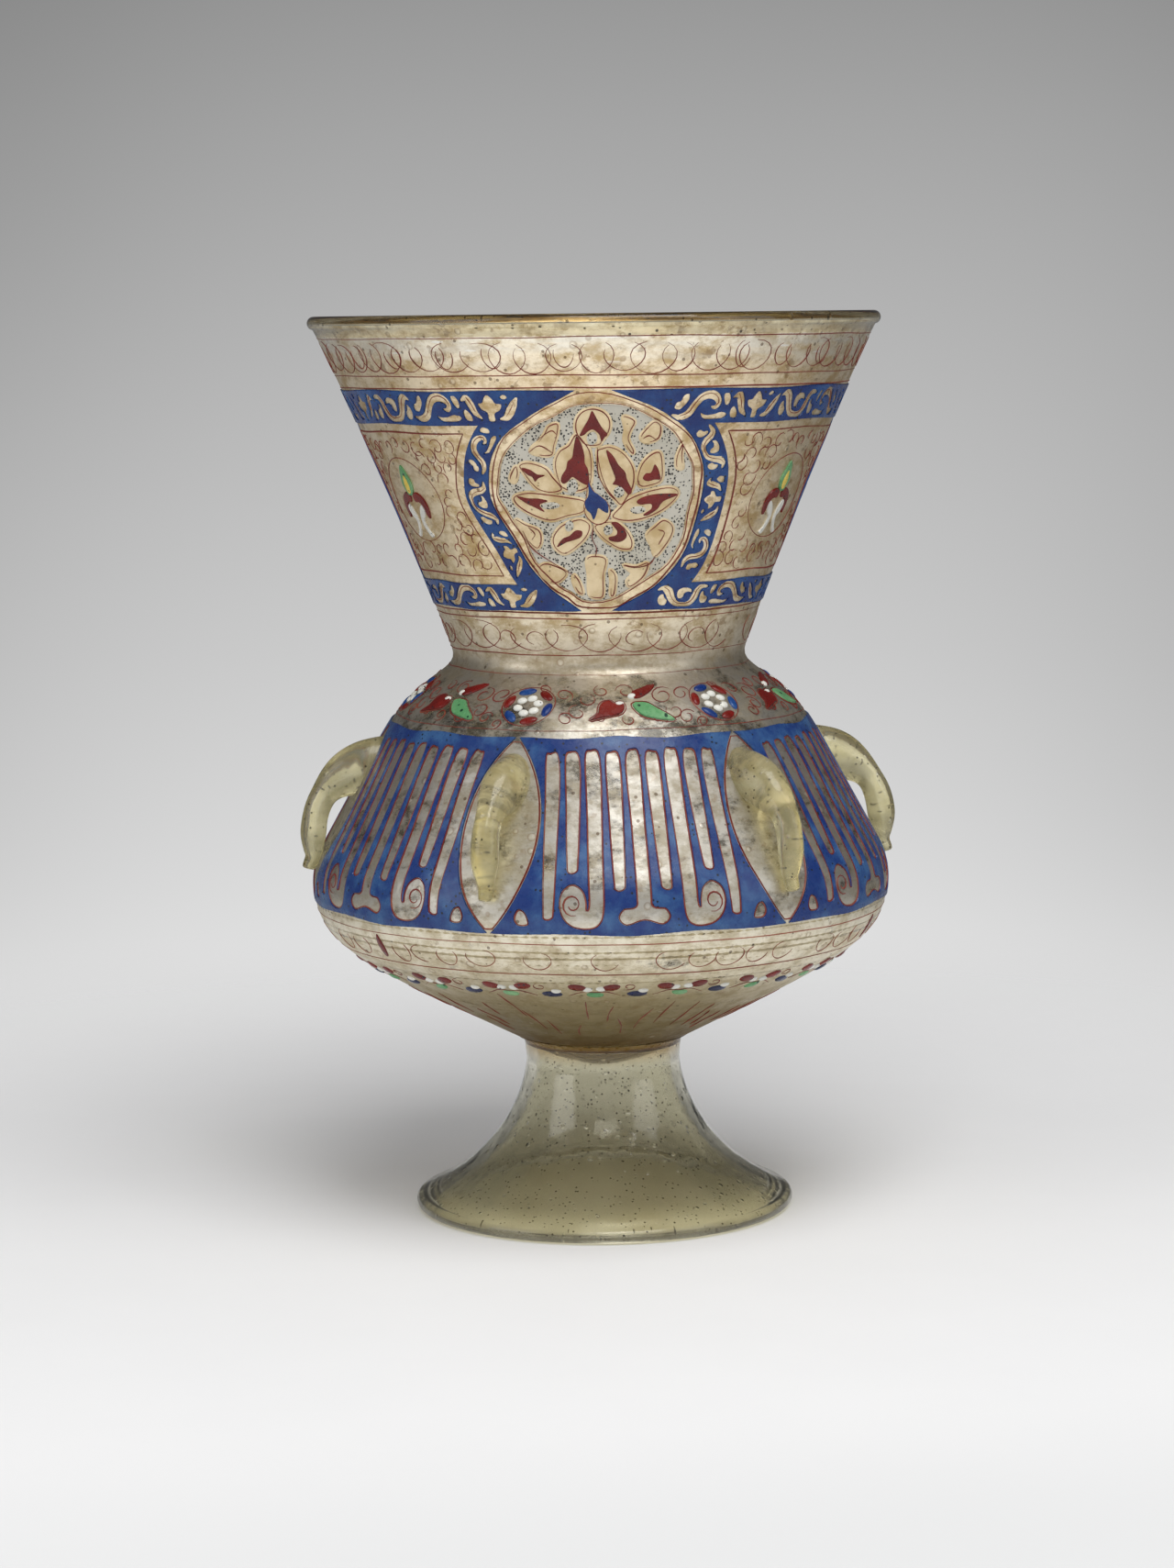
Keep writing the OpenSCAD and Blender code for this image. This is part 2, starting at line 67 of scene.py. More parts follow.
LOG = logging.getLogger("lamp")
MM = 0.001
TURN = 360.0
LAMP = "lamp"
SEED = 7
GLASS_ANGLE = 60.0
ROUND_ANGLE = 80.0
MOST_ASIDE = 0.98

Point = tuple[float, float]
Sketch = tuple[Point, ...]
Colour = tuple[float, float, float, float]
Socket = bpy.types.NodeSocket
Tree = bpy.types.NodeTree
Piece = bpy.types.Object
Hand = np.random.Generator
Outline = np.ndarray


def linear(red: int, green: int, blue: int) -> Colour:
    """Turn a display colour of 0 to 255 into Blender's linear colour.

    Args:
        red: Red of the display colour.
        green: Green of the display colour.
        blue: Blue of the display colour.

    Returns:
        Linear red, green and blue, and full alpha.
    """
    shares = [value / 255.0 for value in (red, green, blue)]
    channels = [s / 12.92 if s <= 0.04045 else ((s + 0.055) / 1.055) ** 2.4 for s in shares]
    return *channels, 1.0


def blend(low: Any, high: Any, share: Any) -> Any:
    """Value at a share of the way from low to high."""
    return low + (high - low) * share


def ease(low: float, high: float, value: Any) -> Any:
    """Smooth step from 0 below low to 1 above high."""
    t = np.clip((np.asarray(value, float) - low) / (high - low), 0.0, 1.0)
    return t * t * (3.0 - 2.0 * t)


def bezier(points: Sequence[Point], steps: int) -> np.ndarray:
    """Points along a quadratic or cubic Bezier curve.

    Args:
        points: Three or four control points.
        steps: Number of steps along the curve.

    Returns:
        Array of steps + 1 points.
    """
    t = np.linspace(0.0, 1.0, steps + 1)[:, None]
    row = [np.asarray(p, float)[None, :] for p in points]
    while len(row) > 1:
        row = [blend(a, b, t) for a, b in zip(row, row[1:])]
    return row[0]


def smooth(a: Any, b: Any, c: Any, d: Any, t: Any) -> Any:
    """Place at a share t from b to c on the smooth curve through four points."""
    straight = 2 * b + (c - a) * t
    return 0.5 * (straight + (2 * a - 5 * b + 4 * c - d) * t ** 2 + (3 * b - a - 3 * c + d) * t ** 3)


def rounded(points: Sequence[Point], per_side: int = 4) -> Outline:
    """Closed smooth outline through given points.

    Args:
        points: Corners of the drawing, in order.
        per_side: Points made between two corners.

    Returns:
        Closed outline, its end not repeated.
    """
    row = [np.roll(np.asarray(points, float), shift, 0)[:, None, :] for shift in (1, 0, -1, -2)]
    t = (np.arange(per_side) / per_side)[None, :, None]
    return smooth(*row, t).reshape(-1, 2)


def flowing(points: Sequence[Point], per_side: int = 5) -> Outline:
    """Open smooth line through given points.

    Args:
        points: Points of the drawing, in order.
        per_side: Points made between two of them.

    Returns:
        Points along the line, both ends included.
    """
    p = np.asarray(points, float)
    p = np.vstack([2 * p[0] - p[1], p, 2 * p[-1] - p[-2]])
    row = [p[i:len(p) - 3 + i, None, :] for i in range(4)]
    t = (np.arange(per_side) / per_side)[None, :, None]
    return np.vstack([smooth(*row, t).reshape(-1, 2), p[-2]])


def ellipse(half_w: float, half_h: float, count: int) -> Outline:
    """Closed line round an ellipse, its first point repeated at the end."""
    a = np.linspace(0, math.tau, count)
    return np.stack([half_w * np.cos(a), half_h * np.sin(a)], 1)


def shrunk(outline: Outline, by: float) -> Outline:
    """Outline moved inwards along its own normals.

    Args:
        outline: Closed outline in millimetres.
        by: Distance inwards.

    Returns:
        The moved outline.
    """
    along = np.roll(outline, -1, 0) - np.roll(outline, 1, 0)
    side = np.stack([-along[:, 1], along[:, 0]], 1)
    side /= np.maximum(np.linalg.norm(side, axis=1, keepdims=True), 1e-9)
    area = np.sum(outline[:, 0] * np.roll(outline[:, 1], -1) - np.roll(outline[:, 0], -1) * outline[:, 1])
    return outline + side * by * (1.0 if area > 0 else -1.0)


def looped(outline: Outline) -> Outline:
    """Outline with its first point repeated at the end, for a closed line."""
    return np.vstack([outline, outline[:1]])


def inside(point: Point, outline: Outline) -> bool:
    """True if a point lies inside a closed outline.

    Args:
        point: The point.
        outline: The outline.

    Returns:
        True if it lies inside.
    """
    x, y = outline[:, 0], outline[:, 1]
    nx, ny = np.roll(x, -1), np.roll(y, -1)
    crosses = (y > point[1]) != (ny > point[1])
    rise = np.where(crosses, ny - y, 1.0)
    return bool(np.count_nonzero(crosses & (point[0] < (nx - x) * (point[1] - y) / rise + x)) % 2)


def between(left: Outline, right: Outline, count: int, waver: float, waves: float, seeds: Point) -> Outline:
    """Outline of a field between two sides, closed by two edges drawn by hand.

    Args:
        left: First side, upwards.
        right: Other side, upwards.
        count: Points along each edge, with its ends.
        waver: How far the hand strays.
        waves: Waves of the hand round the lamp.
        seeds: Changes the hand's path on the upper and the lower edge.

    Returns:
        Closed outline as azimuth and height.
    """
    share = np.linspace(0.0, 1.0, count)[1:-1, None]
    upper, lower = blend(left[-1], right[-1], share), blend(right[0], left[0], share)
    for edge, seed in zip((upper, lower), seeds):
        edge[:, 1] += waver * np.sin(np.radians(edge[:, 0]) * waves + seed) * np.sin(math.pi * share[:, 0])
    return np.vstack([left, upper, right[::-1], lower])


@dataclass(frozen=True)
class LampProfile:
    """Turned outline of body and foot, with the sizes that the solids have."""

    lamp_h: float = 320.0
    lip_bead_r: float = 2.4
    belly_r: float = 102.5
    belly_z: float = 119.0
    belly_round: float = 7.0
    mouth_share: float = 0.976
    neck_hollow: float = 3.5
    waist_r: float = 50.5
    waist_z: float = 198.5
    waist_round: float = 5.0
    shoulder_top_angle: float = 52.0
    shoulder_top_pull: float = 27.5
    shoulder_low_angle: float = 29.0
    shoulder_low_pull: float = 60.0
    under_top_pull: float = 21.5
    under_low_pull: float = 69.5
    under_angle: float = 62.5
    bottom_r: float = 25.0
    bottom_z: float = 59.5
    bottom_drop: float = 7.5
    body_wall: float = 3.0
    foot_r: float = 68.0
    foot_edge_round: float = 2.6
    foot_ring_w: float = 4.5
    collar_r: float = 27.5
    collar_z: float = 56.0
    flare_top_pull: float = 12.5
    flare_low_pull: float = 33.5
    flare_angle: float = 23.5
    foot_wall: float = 3.6
    steps: int = 20

    def outer(self) -> np.ndarray:
        """Outer line of the body as radius and height, from the lip down to the middle of the bottom.

        Returns:
            The line, one row to a point.
        """
        rim = np.array([self.mouth_share * self.belly_r, self.lamp_h - self.lip_bead_r])
        waist = np.array([self.waist_r, self.waist_z])
        neck_foot = waist + self.waist_round * (rim - waist) / np.linalg.norm(rim - waist)
        top = math.radians(self.shoulder_top_angle)
        shoulder_dir = np.array([math.sin(top), -math.cos(top)])
        shoulder_start = waist + self.waist_round * shoulder_dir
        belly = np.array([self.belly_r, self.belly_z])
        corner = belly + [0.0, self.belly_round]
        low = math.radians(self.shoulder_low_angle)
        back = np.array([-math.sin(low), math.cos(low)])
        shoulder_end = corner + self.belly_round * back
        under = math.radians(self.under_angle)
        under_end = np.array([self.bottom_r, self.bottom_z])
        bottom = np.array([0.0, self.bottom_z - self.bottom_drop])
        turn = np.array([max(1.0, self.bottom_r - self.bottom_drop * math.tan(under)), bottom[1]])
        parts = [
            bezier([rim, (rim + neck_foot) / 2 - [self.neck_hollow, 0.0], neck_foot], self.steps),
            bezier([neck_foot, waist, shoulder_start], self.steps // 2),
            bezier([shoulder_start, shoulder_start + self.shoulder_top_pull * shoulder_dir,
                    shoulder_end + self.shoulder_low_pull * back, shoulder_end], self.steps),
            bezier([shoulder_end, corner, belly], self.steps // 2),
            bezier([belly, belly - [0.0, self.under_top_pull],
                    under_end + self.under_low_pull * np.array([math.sin(under), math.cos(under)]),
                    under_end], self.steps),
            bezier([under_end, turn, bottom], self.steps // 2)]
        return np.vstack([parts[0]] + [p[1:] for p in parts[1:]])

    def foot_line(self) -> np.ndarray:
        """Outer line of the foot as radius and height, from the collar down to the edge.

        Returns:
            The line, one row to a point.
        """
        flare = math.radians(self.flare_angle)
        out, up = math.cos(flare), math.sin(flare)
        edge = self.edge_mid() + self.foot_edge_round * np.array([up, out])
        collar = np.array([self.collar_r, self.collar_z])
        top_pull = collar - [0.0, self.flare_top_pull]
        low_pull = edge + self.flare_low_pull * np.array([-out, up])
        return bezier([collar, top_pull, low_pull, edge], self.steps)

    def edge_mid(self) -> np.ndarray:
        """Centre of the foot edge's rounding."""
        return np.array([self.foot_r - self.foot_edge_round, self.foot_edge_round])


def moved_out(line: np.ndarray, by: float) -> np.ndarray:
    """Line that runs downwards, moved along its outward normals.

    Args:
        line: Radius and height of each point.
        by: Distance outwards, negative for inwards.

    Returns:
        The moved line, never past the axis.
    """
    along = np.gradient(line, axis=0)
    along /= np.linalg.norm(along, axis=1, keepdims=True)
    moved = line + by * np.stack([-along[:, 1], along[:, 0]], 1)
    moved[:, 0] = np.maximum(moved[:, 0], 0.0)
    return moved


class Surface:
    """The body's outside as a place to draw on: azimuth and height to a point in space."""

    TWO_WAVE, THREE_WAVE = 0.35, 0.22
    TWO_START, THREE_LEAN = 0.8, 0.022
    EVEN_BELOW, SWAY_ABOVE = 70.0, 120.0

    def __init__(self, profile: LampProfile) -> None:
        """Keep the outline as tables by height.

        Args:
            profile: The lamp's lines.
        """
        line = profile.outer()
        normal = moved_out(line, 1.0) - line
        normal[0] = normal[1]
        self._z, self._r = line[::-1, 1], line[::-1, 0]
        self._nz, self._nr = normal[::-1, 1], normal[::-1, 0]
        steps = np.linalg.norm(np.diff(line[::-1], axis=0), axis=1)
        self._s = np.concatenate([[0.0], np.cumsum(steps)])

    def radius(self, z: Any) -> Any:
        """Outer radius at a height."""
        return np.interp(z, self._z, self._r)

    def slid(self, z: float, along: Any) -> Any:
        """Height reached by going up the slope from a height by a length."""
        return np.interp(np.interp(z, self._z, self._s) + along, self._s, self._z)

    def sway(self, azimuth: Any, z: Any) -> Any:
        """Small unevenness of the blown wall, in millimetres outwards.

        Args:
            azimuth: Azimuth in degrees.
            z: Height.

        Returns:
            The unevenness.
        """
        a = np.radians(azimuth)
        wave = self.TWO_WAVE * np.sin(2 * a + self.TWO_START)
        wave = wave + self.THREE_WAVE * np.sin(3 * a - self.THREE_LEAN * np.asarray(z))
        return wave * ease(self.EVEN_BELOW, self.SWAY_ABOVE, z)

    def place(self, azimuth: Any, z: Any, lift: Any = 0.0) -> np.ndarray:
        """Points in space for places on the glass.

        Args:
            azimuth: Azimuths in degrees.
            z: Heights in millimetres.
            lift: Height above the glass in millimetres.

        Returns:
            Array of points in metres.
        """
        azimuth, z = np.broadcast_arrays(np.asarray(azimuth, float), np.asarray(z, float))
        nr, nz = np.interp(z, self._z, self._nr), np.interp(z, self._z, self._nz)
        r = self.radius(z) + lift * nr + self.sway(azimuth, z)
        a = np.radians(azimuth)
        return np.stack([r * np.cos(a), r * np.sin(a), z + lift * nz], -1) * MM

    def spot(self, azimuth: float, z: float, flat: Outline, upright: bool = True,
             turn: float = 0.0) -> Outline:
        """Lay a flat drawing at a spot on the glass.

        Args:
            azimuth: Azimuth of the drawing's origin.
            z: Height of the drawing's origin.
            flat: Points in millimetres, x along the wall and y upwards.
            upright: True if y is height, False if it is length along the slope.
            turn: Turn of the drawing in degrees.

        Returns:
            Azimuth and height of each point.
        """
        c, s = math.cos(math.radians(turn)), math.sin(math.radians(turn))
        p = np.asarray(flat, float) @ np.array([[c, s], [-s, c]])
        heights = z + p[:, 1] if upright else self.slid(z, p[:, 1])
        return np.stack([azimuth + np.degrees(p[:, 0] / self.radius(heights)), heights], 1)


PROFILE = LampProfile()
GLASS = Surface(PROFILE)


class Nodes:
    """Adds and links the nodes of one tree."""

    MIX_LOW, MIX_HIGH, MIX_RESULT = 6, 7, 2

    def __init__(self, tree: Tree) -> None:
        """Start on a tree."""
        self.tree = tree

    @classmethod
    def fresh(cls, owner: bpy.types.ID) -> "Nodes":
        """Cleared nodes of a material or world.

        Args:
            owner: The material or world.

        Returns:
            Its nodes.
        """
        owner.use_nodes = True
        owner.node_tree.nodes.clear()
        return cls(owner.node_tree)

    def add(self, kind: str, inputs: dict[Any, Any] | None = None, **settings: Any) -> bpy.types.Node:
        """Add a node, set it and link its inputs.

        Args:
            kind: Node type.
            inputs: Values or sockets for its inputs, by name or index.
            settings: Attributes of the node.

        Returns:
            The new node.
        """
        node = self.tree.nodes.new(kind)
        for key, value in settings.items():
            setattr(node, key, value)
        for key, value in (inputs or {}).items():
            if isinstance(value, Socket):
                self.tree.links.new(value, node.inputs[key])
            else:
                node.inputs[key].default_value = value
        return node

    def join(self, node: bpy.types.Node, **sockets: Socket) -> None:
        """Link sockets to a node's inputs by name."""
        for name, socket in sockets.items():
            self.tree.links.new(socket, node.inputs[name])

    def math(self, operation: str, a: Any, b: Any = 0.0) -> Socket:
        """Result of a math node."""
        return self.add("ShaderNodeMath", {0: a, 1: b}, operation=operation).outputs[0]

    def times(self, a: Any, b: Any) -> Socket:
        """Product of two values."""
        return self.math("MULTIPLY", a, b)

    def span(self, value: Any, low: Any, high: Any, to_low: float = 0.0, to_high: float = 1.0) -> Socket:
        """Smooth change of a value from one range to another."""
        inputs = {"Value": value, "From Min": low, "From Max": high, "To Min": to_low, "To Max": to_high}
        return self.add("ShaderNodeMapRange", inputs, interpolation_type="SMOOTHSTEP").outputs["Result"]

    def mix(self, share: Any, low: Any, high: Any) -> Socket:
        """Mix of two colours."""
        inputs = {0: share, self.MIX_LOW: low, self.MIX_HIGH: high}
        return self.add("ShaderNodeMix", inputs, data_type="RGBA").outputs[self.MIX_RESULT]

    def over(self, colour: Any, mask: Any, share: Any, top: Any) -> Socket:
        """Colour with another laid over it, by a mask and a share."""
        return self.mix(self.times(mask, share), colour, top)

    def graded(self, value: Any, stops: Sequence[tuple[float, Colour]]) -> Socket:
        """Colour that follows a value through stops.

        Args:
            value: The value.
            stops: Values and their colours, in order.

        Returns:
            The colour.
        """
        low, high = stops[0][0], stops[-1][0]
        reach = {"Value": value, "From Min": low, "From Max": high}
        level = self.add("ShaderNodeMapRange", reach).outputs[0]
        node = self.add("ShaderNodeValToRGB", {0: level})
        elements = node.color_ramp.elements
        while len(elements) < len(stops):
            elements.new(1.0)
        for element, (at, colour) in zip(elements, stops):
            element.position = (at - low) / (high - low)
            element.color = colour
        return node.outputs["Color"]

    def noise(self, scale: Any, detail: float = 4.0, where: Any = None, roughness: float = 0.55) -> Socket:
        """Noise value, on Object coordinates unless told otherwise."""
        inputs = {"Vector": where or self.where(), "Scale": scale, "Detail": detail, "Roughness": roughness}
        return self.add("ShaderNodeTexNoise", inputs).outputs[0]

    def where(self) -> Socket:
        """Object coordinates, shared by the tree.

        Returns:
            The coordinates.
        """
        for node in self.tree.nodes:
            if node.type == "TEX_COORD":
                return node.outputs["Object"]
        return self.add("ShaderNodeTexCoord").outputs["Object"]

    def axes(self) -> Any:
        """Object coordinates one by one, by the names X, Y and Z."""
        return self.add("ShaderNodeSeparateXYZ", {0: self.where()}).outputs

    def bump(self, height: Any, strength: float, depth: float) -> Socket:
        """Normal of an uneven surface, its depth in metres."""
        inputs = {"Height": height, "Strength": strength, "Distance": depth}
        return self.add("ShaderNodeBump", inputs).outputs[0]

    def surface(self, colour: Any, rough: Any, inputs: dict[str, Any] | None = None) -> Socket:
        """Principled shader of a colour, a roughness and other inputs."""
        inputs = {"Base Color": colour, "Roughness": rough} | (inputs or {})
        return self.add("ShaderNodeBsdfPrincipled", inputs).outputs[0]

    def either(self, share: Any, first: Socket, second: Socket) -> Socket:
        """Mix of two shaders."""
        return self.add("ShaderNodeMixShader", {0: share, 1: first, 2: second}).outputs[0]


class Effect(Enum):
    """Shader groups that several finishes share."""

    SPECKS = "specks"
    BUBBLES = "bubbles"
    CLOUDS = "clouds"
    STRIAE = "striae"


class EffectShelf:
    """Builds each shared shader group once."""

    def __init__(self) -> None:
        """Start with an empty shelf."""
        self._made: dict[Effect, Tree] = {}

    def get(self, effect: Effect) -> Tree:
        """Group of an effect, built on first use.

        Args:
            effect: The effect.

        Returns:
            Its group.
        """
        if effect not in self._made:
            builders = {Effect.SPECKS: self._specks, Effect.BUBBLES: self._bubbles,
                        Effect.CLOUDS: self._clouds, Effect.STRIAE: self._striae}
            self._made[effect] = builders[effect]()
        return self._made[effect]

    @staticmethod
    def _group(name: str, inputs: dict[str, float], outputs: Iterable[str]) -> tuple[Nodes, Any, Any]:
        """Empty group with float sockets.

        Args:
            name: Name of the group.
            inputs: Input names and defaults.
            outputs: Output names.

        Returns:
            The nodes, the sockets that the group is given and its output node.
        """
        tree = bpy.data.node_groups.new(name, "ShaderNodeTree")
        for key, value in inputs.items():
            socket = tree.interface.new_socket(key, in_out="INPUT", socket_type="NodeSocketFloat")
            socket.default_value = value
        for key in outputs:
            tree.interface.new_socket(key, in_out="OUTPUT", socket_type="NodeSocketFloat")
        nodes = Nodes(tree)
        return nodes, nodes.add("NodeGroupInput").outputs, nodes.add("NodeGroupOutput")

    @staticmethod
    def _cells(nodes: Nodes, where: Socket, scale: Any, share: Socket) -> tuple[Socket, Socket, Socket]:
        """Distance in scattered cells, 1 in a share of them, and another random value of each.

        Args:
            nodes: Nodes of the group.
            where: Coordinates.
            scale: Scale of the cells.
            share: Share of the cells that are kept.

        Returns:
            The distance, the mask and the random value.
        """
        cell = nodes.add("ShaderNodeTexVoronoi", {"Vector": where, "Scale": scale}).outputs
        pick = nodes.add("ShaderNodeSeparateColor", {0: cell["Color"]}).outputs
        return cell["Distance"], nodes.math("LESS_THAN", pick[0], share), pick[1]

    def _specks(self) -> Tree:
        """Scattered pits: Mask is 1 in a pit.

        Returns:
            The group.
        """
        nodes, given, out = self._group("Specks", {"Scale": 900.0, "Size": 0.3, "Share": 0.5}, ["Mask"])
        away, kept, _ = self._cells(nodes, nodes.where(), given["Scale"], given["Share"])
        nodes.join(out, Mask=nodes.times(nodes.math("LESS_THAN", away, given["Size"]), kept))
        return nodes.tree

    def _bubbles(self) -> Tree:
        """Seeds in the glass: Ring is bright at a bubble's edge and Height is its dome.

        Returns:
            The group.
        """
        inputs = {"Scale": 150.0, "Size": 0.25, "Share": 0.4}
        nodes, given, out = self._group("Bubbles", inputs, ["Ring", "Height"])
        away, kept, size = self._cells(nodes, nodes.where(), given["Scale"], given["Share"])
        radius = nodes.times(given["Size"], nodes.math("ADD", size, 0.35))
        share = nodes.math("DIVIDE", away, radius)
        ring = nodes.times(nodes.span(share, 0.55, 0.9), nodes.span(share, 1.15, 0.92))
        dome = nodes.span(share, 1.1, 0.2)
        nodes.join(out, Ring=nodes.times(ring, kept), Height=nodes.times(dome, kept))
        return nodes.tree

    def _clouds(self) -> Tree:
        """Soft blotches with fine grain: Mask runs from 0 to 1.

        Returns:
            The group.
        """
        nodes, given, out = self._group("Clouds", {"Scale": 60.0, "Low": 0.4, "High": 0.6}, ["Mask"])
        broad = nodes.noise(given["Scale"], 6.0, roughness=0.62)
        nodes.join(out, Mask=nodes.span(broad, given["Low"], given["High"]))
        return nodes.tree

    def _striae(self) -> Tree:
        """Marks drawn out round the lamp as it was spun: Dash is a stretched seed, Streak a soft band.

        Returns:
            The group.
        """
        inputs = {"Round": 6.0, "Rise": 480.0, "Size": 0.15, "Share": 0.3}
        nodes, given, out = self._group("Striae", inputs, ["Dash", "Streak"])
        place = nodes.axes()
        azimuth = nodes.math("ARCTAN2", place["Y"], place["X"])
        flat = {0: nodes.times(azimuth, given["Round"]), 1: nodes.times(place["Z"], given["Rise"])}
        where = nodes.add("ShaderNodeCombineXYZ", flat).outputs[0]
        away, kept, _ = self._cells(nodes, where, 1.0, given["Share"])
        dash = nodes.times(nodes.math("LESS_THAN", away, given["Size"]), kept)
        soft = nodes.add("ShaderNodeTexNoise", {"Vector": where, "Scale": 0.7, "Detail": 3.0}).outputs[0]
        nodes.join(out, Dash=dash, Streak=nodes.span(soft, 0.36, 0.66))
        return nodes.tree


SHELF = EffectShelf()


def effect(nodes: Nodes, kind: Effect, **values: Any) -> Any:
    """Outputs of a shared effect that is placed in a material, with its inputs given by name."""
    return nodes.add("ShaderNodeGroup", values, node_tree=SHELF.get(kind)).outputs


def clouds(nodes: Nodes, scale: float, low: float, high: float) -> Socket:
    """Mask of soft blotches."""
    return effect(nodes, Effect.CLOUDS, Scale=scale, Low=low, High=high)["Mask"]


def specks(nodes: Nodes, scale: float, size: float, share: Any) -> Socket:
    """Mask of scattered pits."""
    return effect(nodes, Effect.SPECKS, Scale=scale, Size=size, Share=share)["Mask"]


@dataclass(frozen=True)
class Finish:
    """A finish that makes its material once."""

    name: str

    def material(self) -> bpy.types.Material:
        """The finish's material, made on first use.

        Returns:
            The material.
        """
        found = bpy.data.materials.get(self.name)
        if found:
            return found
        made = bpy.data.materials.new(self.name)
        nodes = Nodes.fresh(made)
        nodes.join(nodes.add("ShaderNodeOutputMaterial"), Surface=self.shader(nodes))
        return made

    def shader(self, nodes: Nodes) -> Socket:
        """Shader of the finish; each kind of finish gives its own."""
        raise NotImplementedError


@dataclass(frozen=True)
class BlownGlass(Finish):
    """Tinted glass with seeds painted with a bright glint, soft waves and darker drifts."""

    colour: Colour = linear(200, 192, 170)
    drift: Colour = linear(170, 160, 130)
    seeds: float = 150.0
    seed_share: float = 0.4
    wave: float = 30.0
    bump: float = 0.25
    joint_z: float = 0.0
    pale_z: float = 0.0
    rough: float = 0.03
    clarity: float = 1.0
    pale: Colour = linear(234, 231, 213)
    joint: Colour = linear(216, 190, 140)
    grit: Colour = linear(52, 42, 26)
    # near-white colour of the painted glint in the seeds
    seed_glint: Colour = (1.0, 1.0, 0.95, 1.0)
    bend: float = 1.48
    floor_rough: float = 0.07

    def shader(self, nodes: Nodes) -> Socket:
        """Transmissive glass that lets the lamps' light through to what is behind it.

        Args:
            nodes: Nodes of the material.

        Returns:
            The shader.
        """
        bubbles = effect(nodes, Effect.BUBBLES, Scale=self.seeds, Size=0.2, Share=self.seed_share)["Height"]
        grit = specks(nodes, self.seeds * 1.8, 0.18, self.seed_share)
        z = nodes.axes()["Z"]
        rough = nodes.span(nodes.noise(220.0), 0.35, 0.75, self.rough, self.rough + 0.1)
        tint = nodes.mix(clouds(nodes, self.wave, 0.42, 0.68), self.colour, self.drift)
        if self.pale_z:
            level = self.pale_z * MM
            tint = nodes.mix(nodes.span(z, level * 0.4, level), tint, self.pale)
            ground = nodes.span(z, level * 0.15, level * 0.55, self.floor_rough, 0.0)
            rough = nodes.math("ADD", rough, ground)
        # bubble domes made near white: a painted glint of light in the seeds
        tint = nodes.over(tint, bubbles, 0.7, self.seed_glint)
        tint = nodes.over(tint, grit, 0.95, self.grit)
        if self.joint_z:
            near = nodes.span(z, (self.joint_z - 5.0) * MM, (self.joint_z + 3.0) * MM)
            tint = nodes.mix(near, tint, self.joint)
        height = nodes.math("ADD", nodes.times(bubbles, 0.6), nodes.noise(self.wave * 1.6, 2.0))
        glass = nodes.surface(tint, rough, {"IOR": self.bend, "Transmission Weight": self.clarity,
                                            "Normal": nodes.bump(height, self.bump, 0.0012)})
        clear = nodes.add("ShaderNodeBsdfTransparent", {"Color": self.colour}).outputs[0]
        return nodes.either(nodes.add("ShaderNodeLightPath").outputs["Is Shadow Ray"], glass, clear)


@dataclass(frozen=True)
class FiredEnamel(Finish):
    """Glossy fired colour, thick and thin, with small pits."""

    colour: Colour = linear(45, 70, 150)
    thin: Colour = linear(70, 95, 170)
    pit_colour: Colour = linear(30, 32, 40)
    pit_scale: float = 700.0
    pit_size: float = 0.3
    pit_share: float = 0.12
    gloss: float = 0.2
    cloud_scale: float = 90.0
    pit_patch: float = 0.0

    def shader(self, nodes: Nodes) -> Socket:
        """Principled enamel with cloudy depth and pits.

        Args:
            nodes: Nodes of the material.

        Returns:
            The shader.
        """
        share = self.pit_share
        if self.pit_patch:
            share = nodes.span(clouds(nodes, self.pit_patch, 0.4, 0.58), 0.0, 1.0, share * 0.3, share)
        pits = specks(nodes, self.pit_scale, self.pit_size, share)
        colour = nodes.mix(clouds(nodes, self.cloud_scale, 0.38, 0.72), self.colour, self.thin)
        colour = nodes.mix(pits, colour, self.pit_colour)
        height = nodes.math("SUBTRACT", nodes.noise(320.0, 3.0), pits)
        rough = nodes.span(nodes.noise(400.0), 0.3, 0.75, self.gloss, self.gloss + 0.22)
        return nodes.surface(colour, rough, {"Normal": nodes.bump(height, 0.22, 0.0006), "Coat Weight": 0.1,
                                             "Coat Roughness": 0.12, "Specular IOR Level": 0.36})


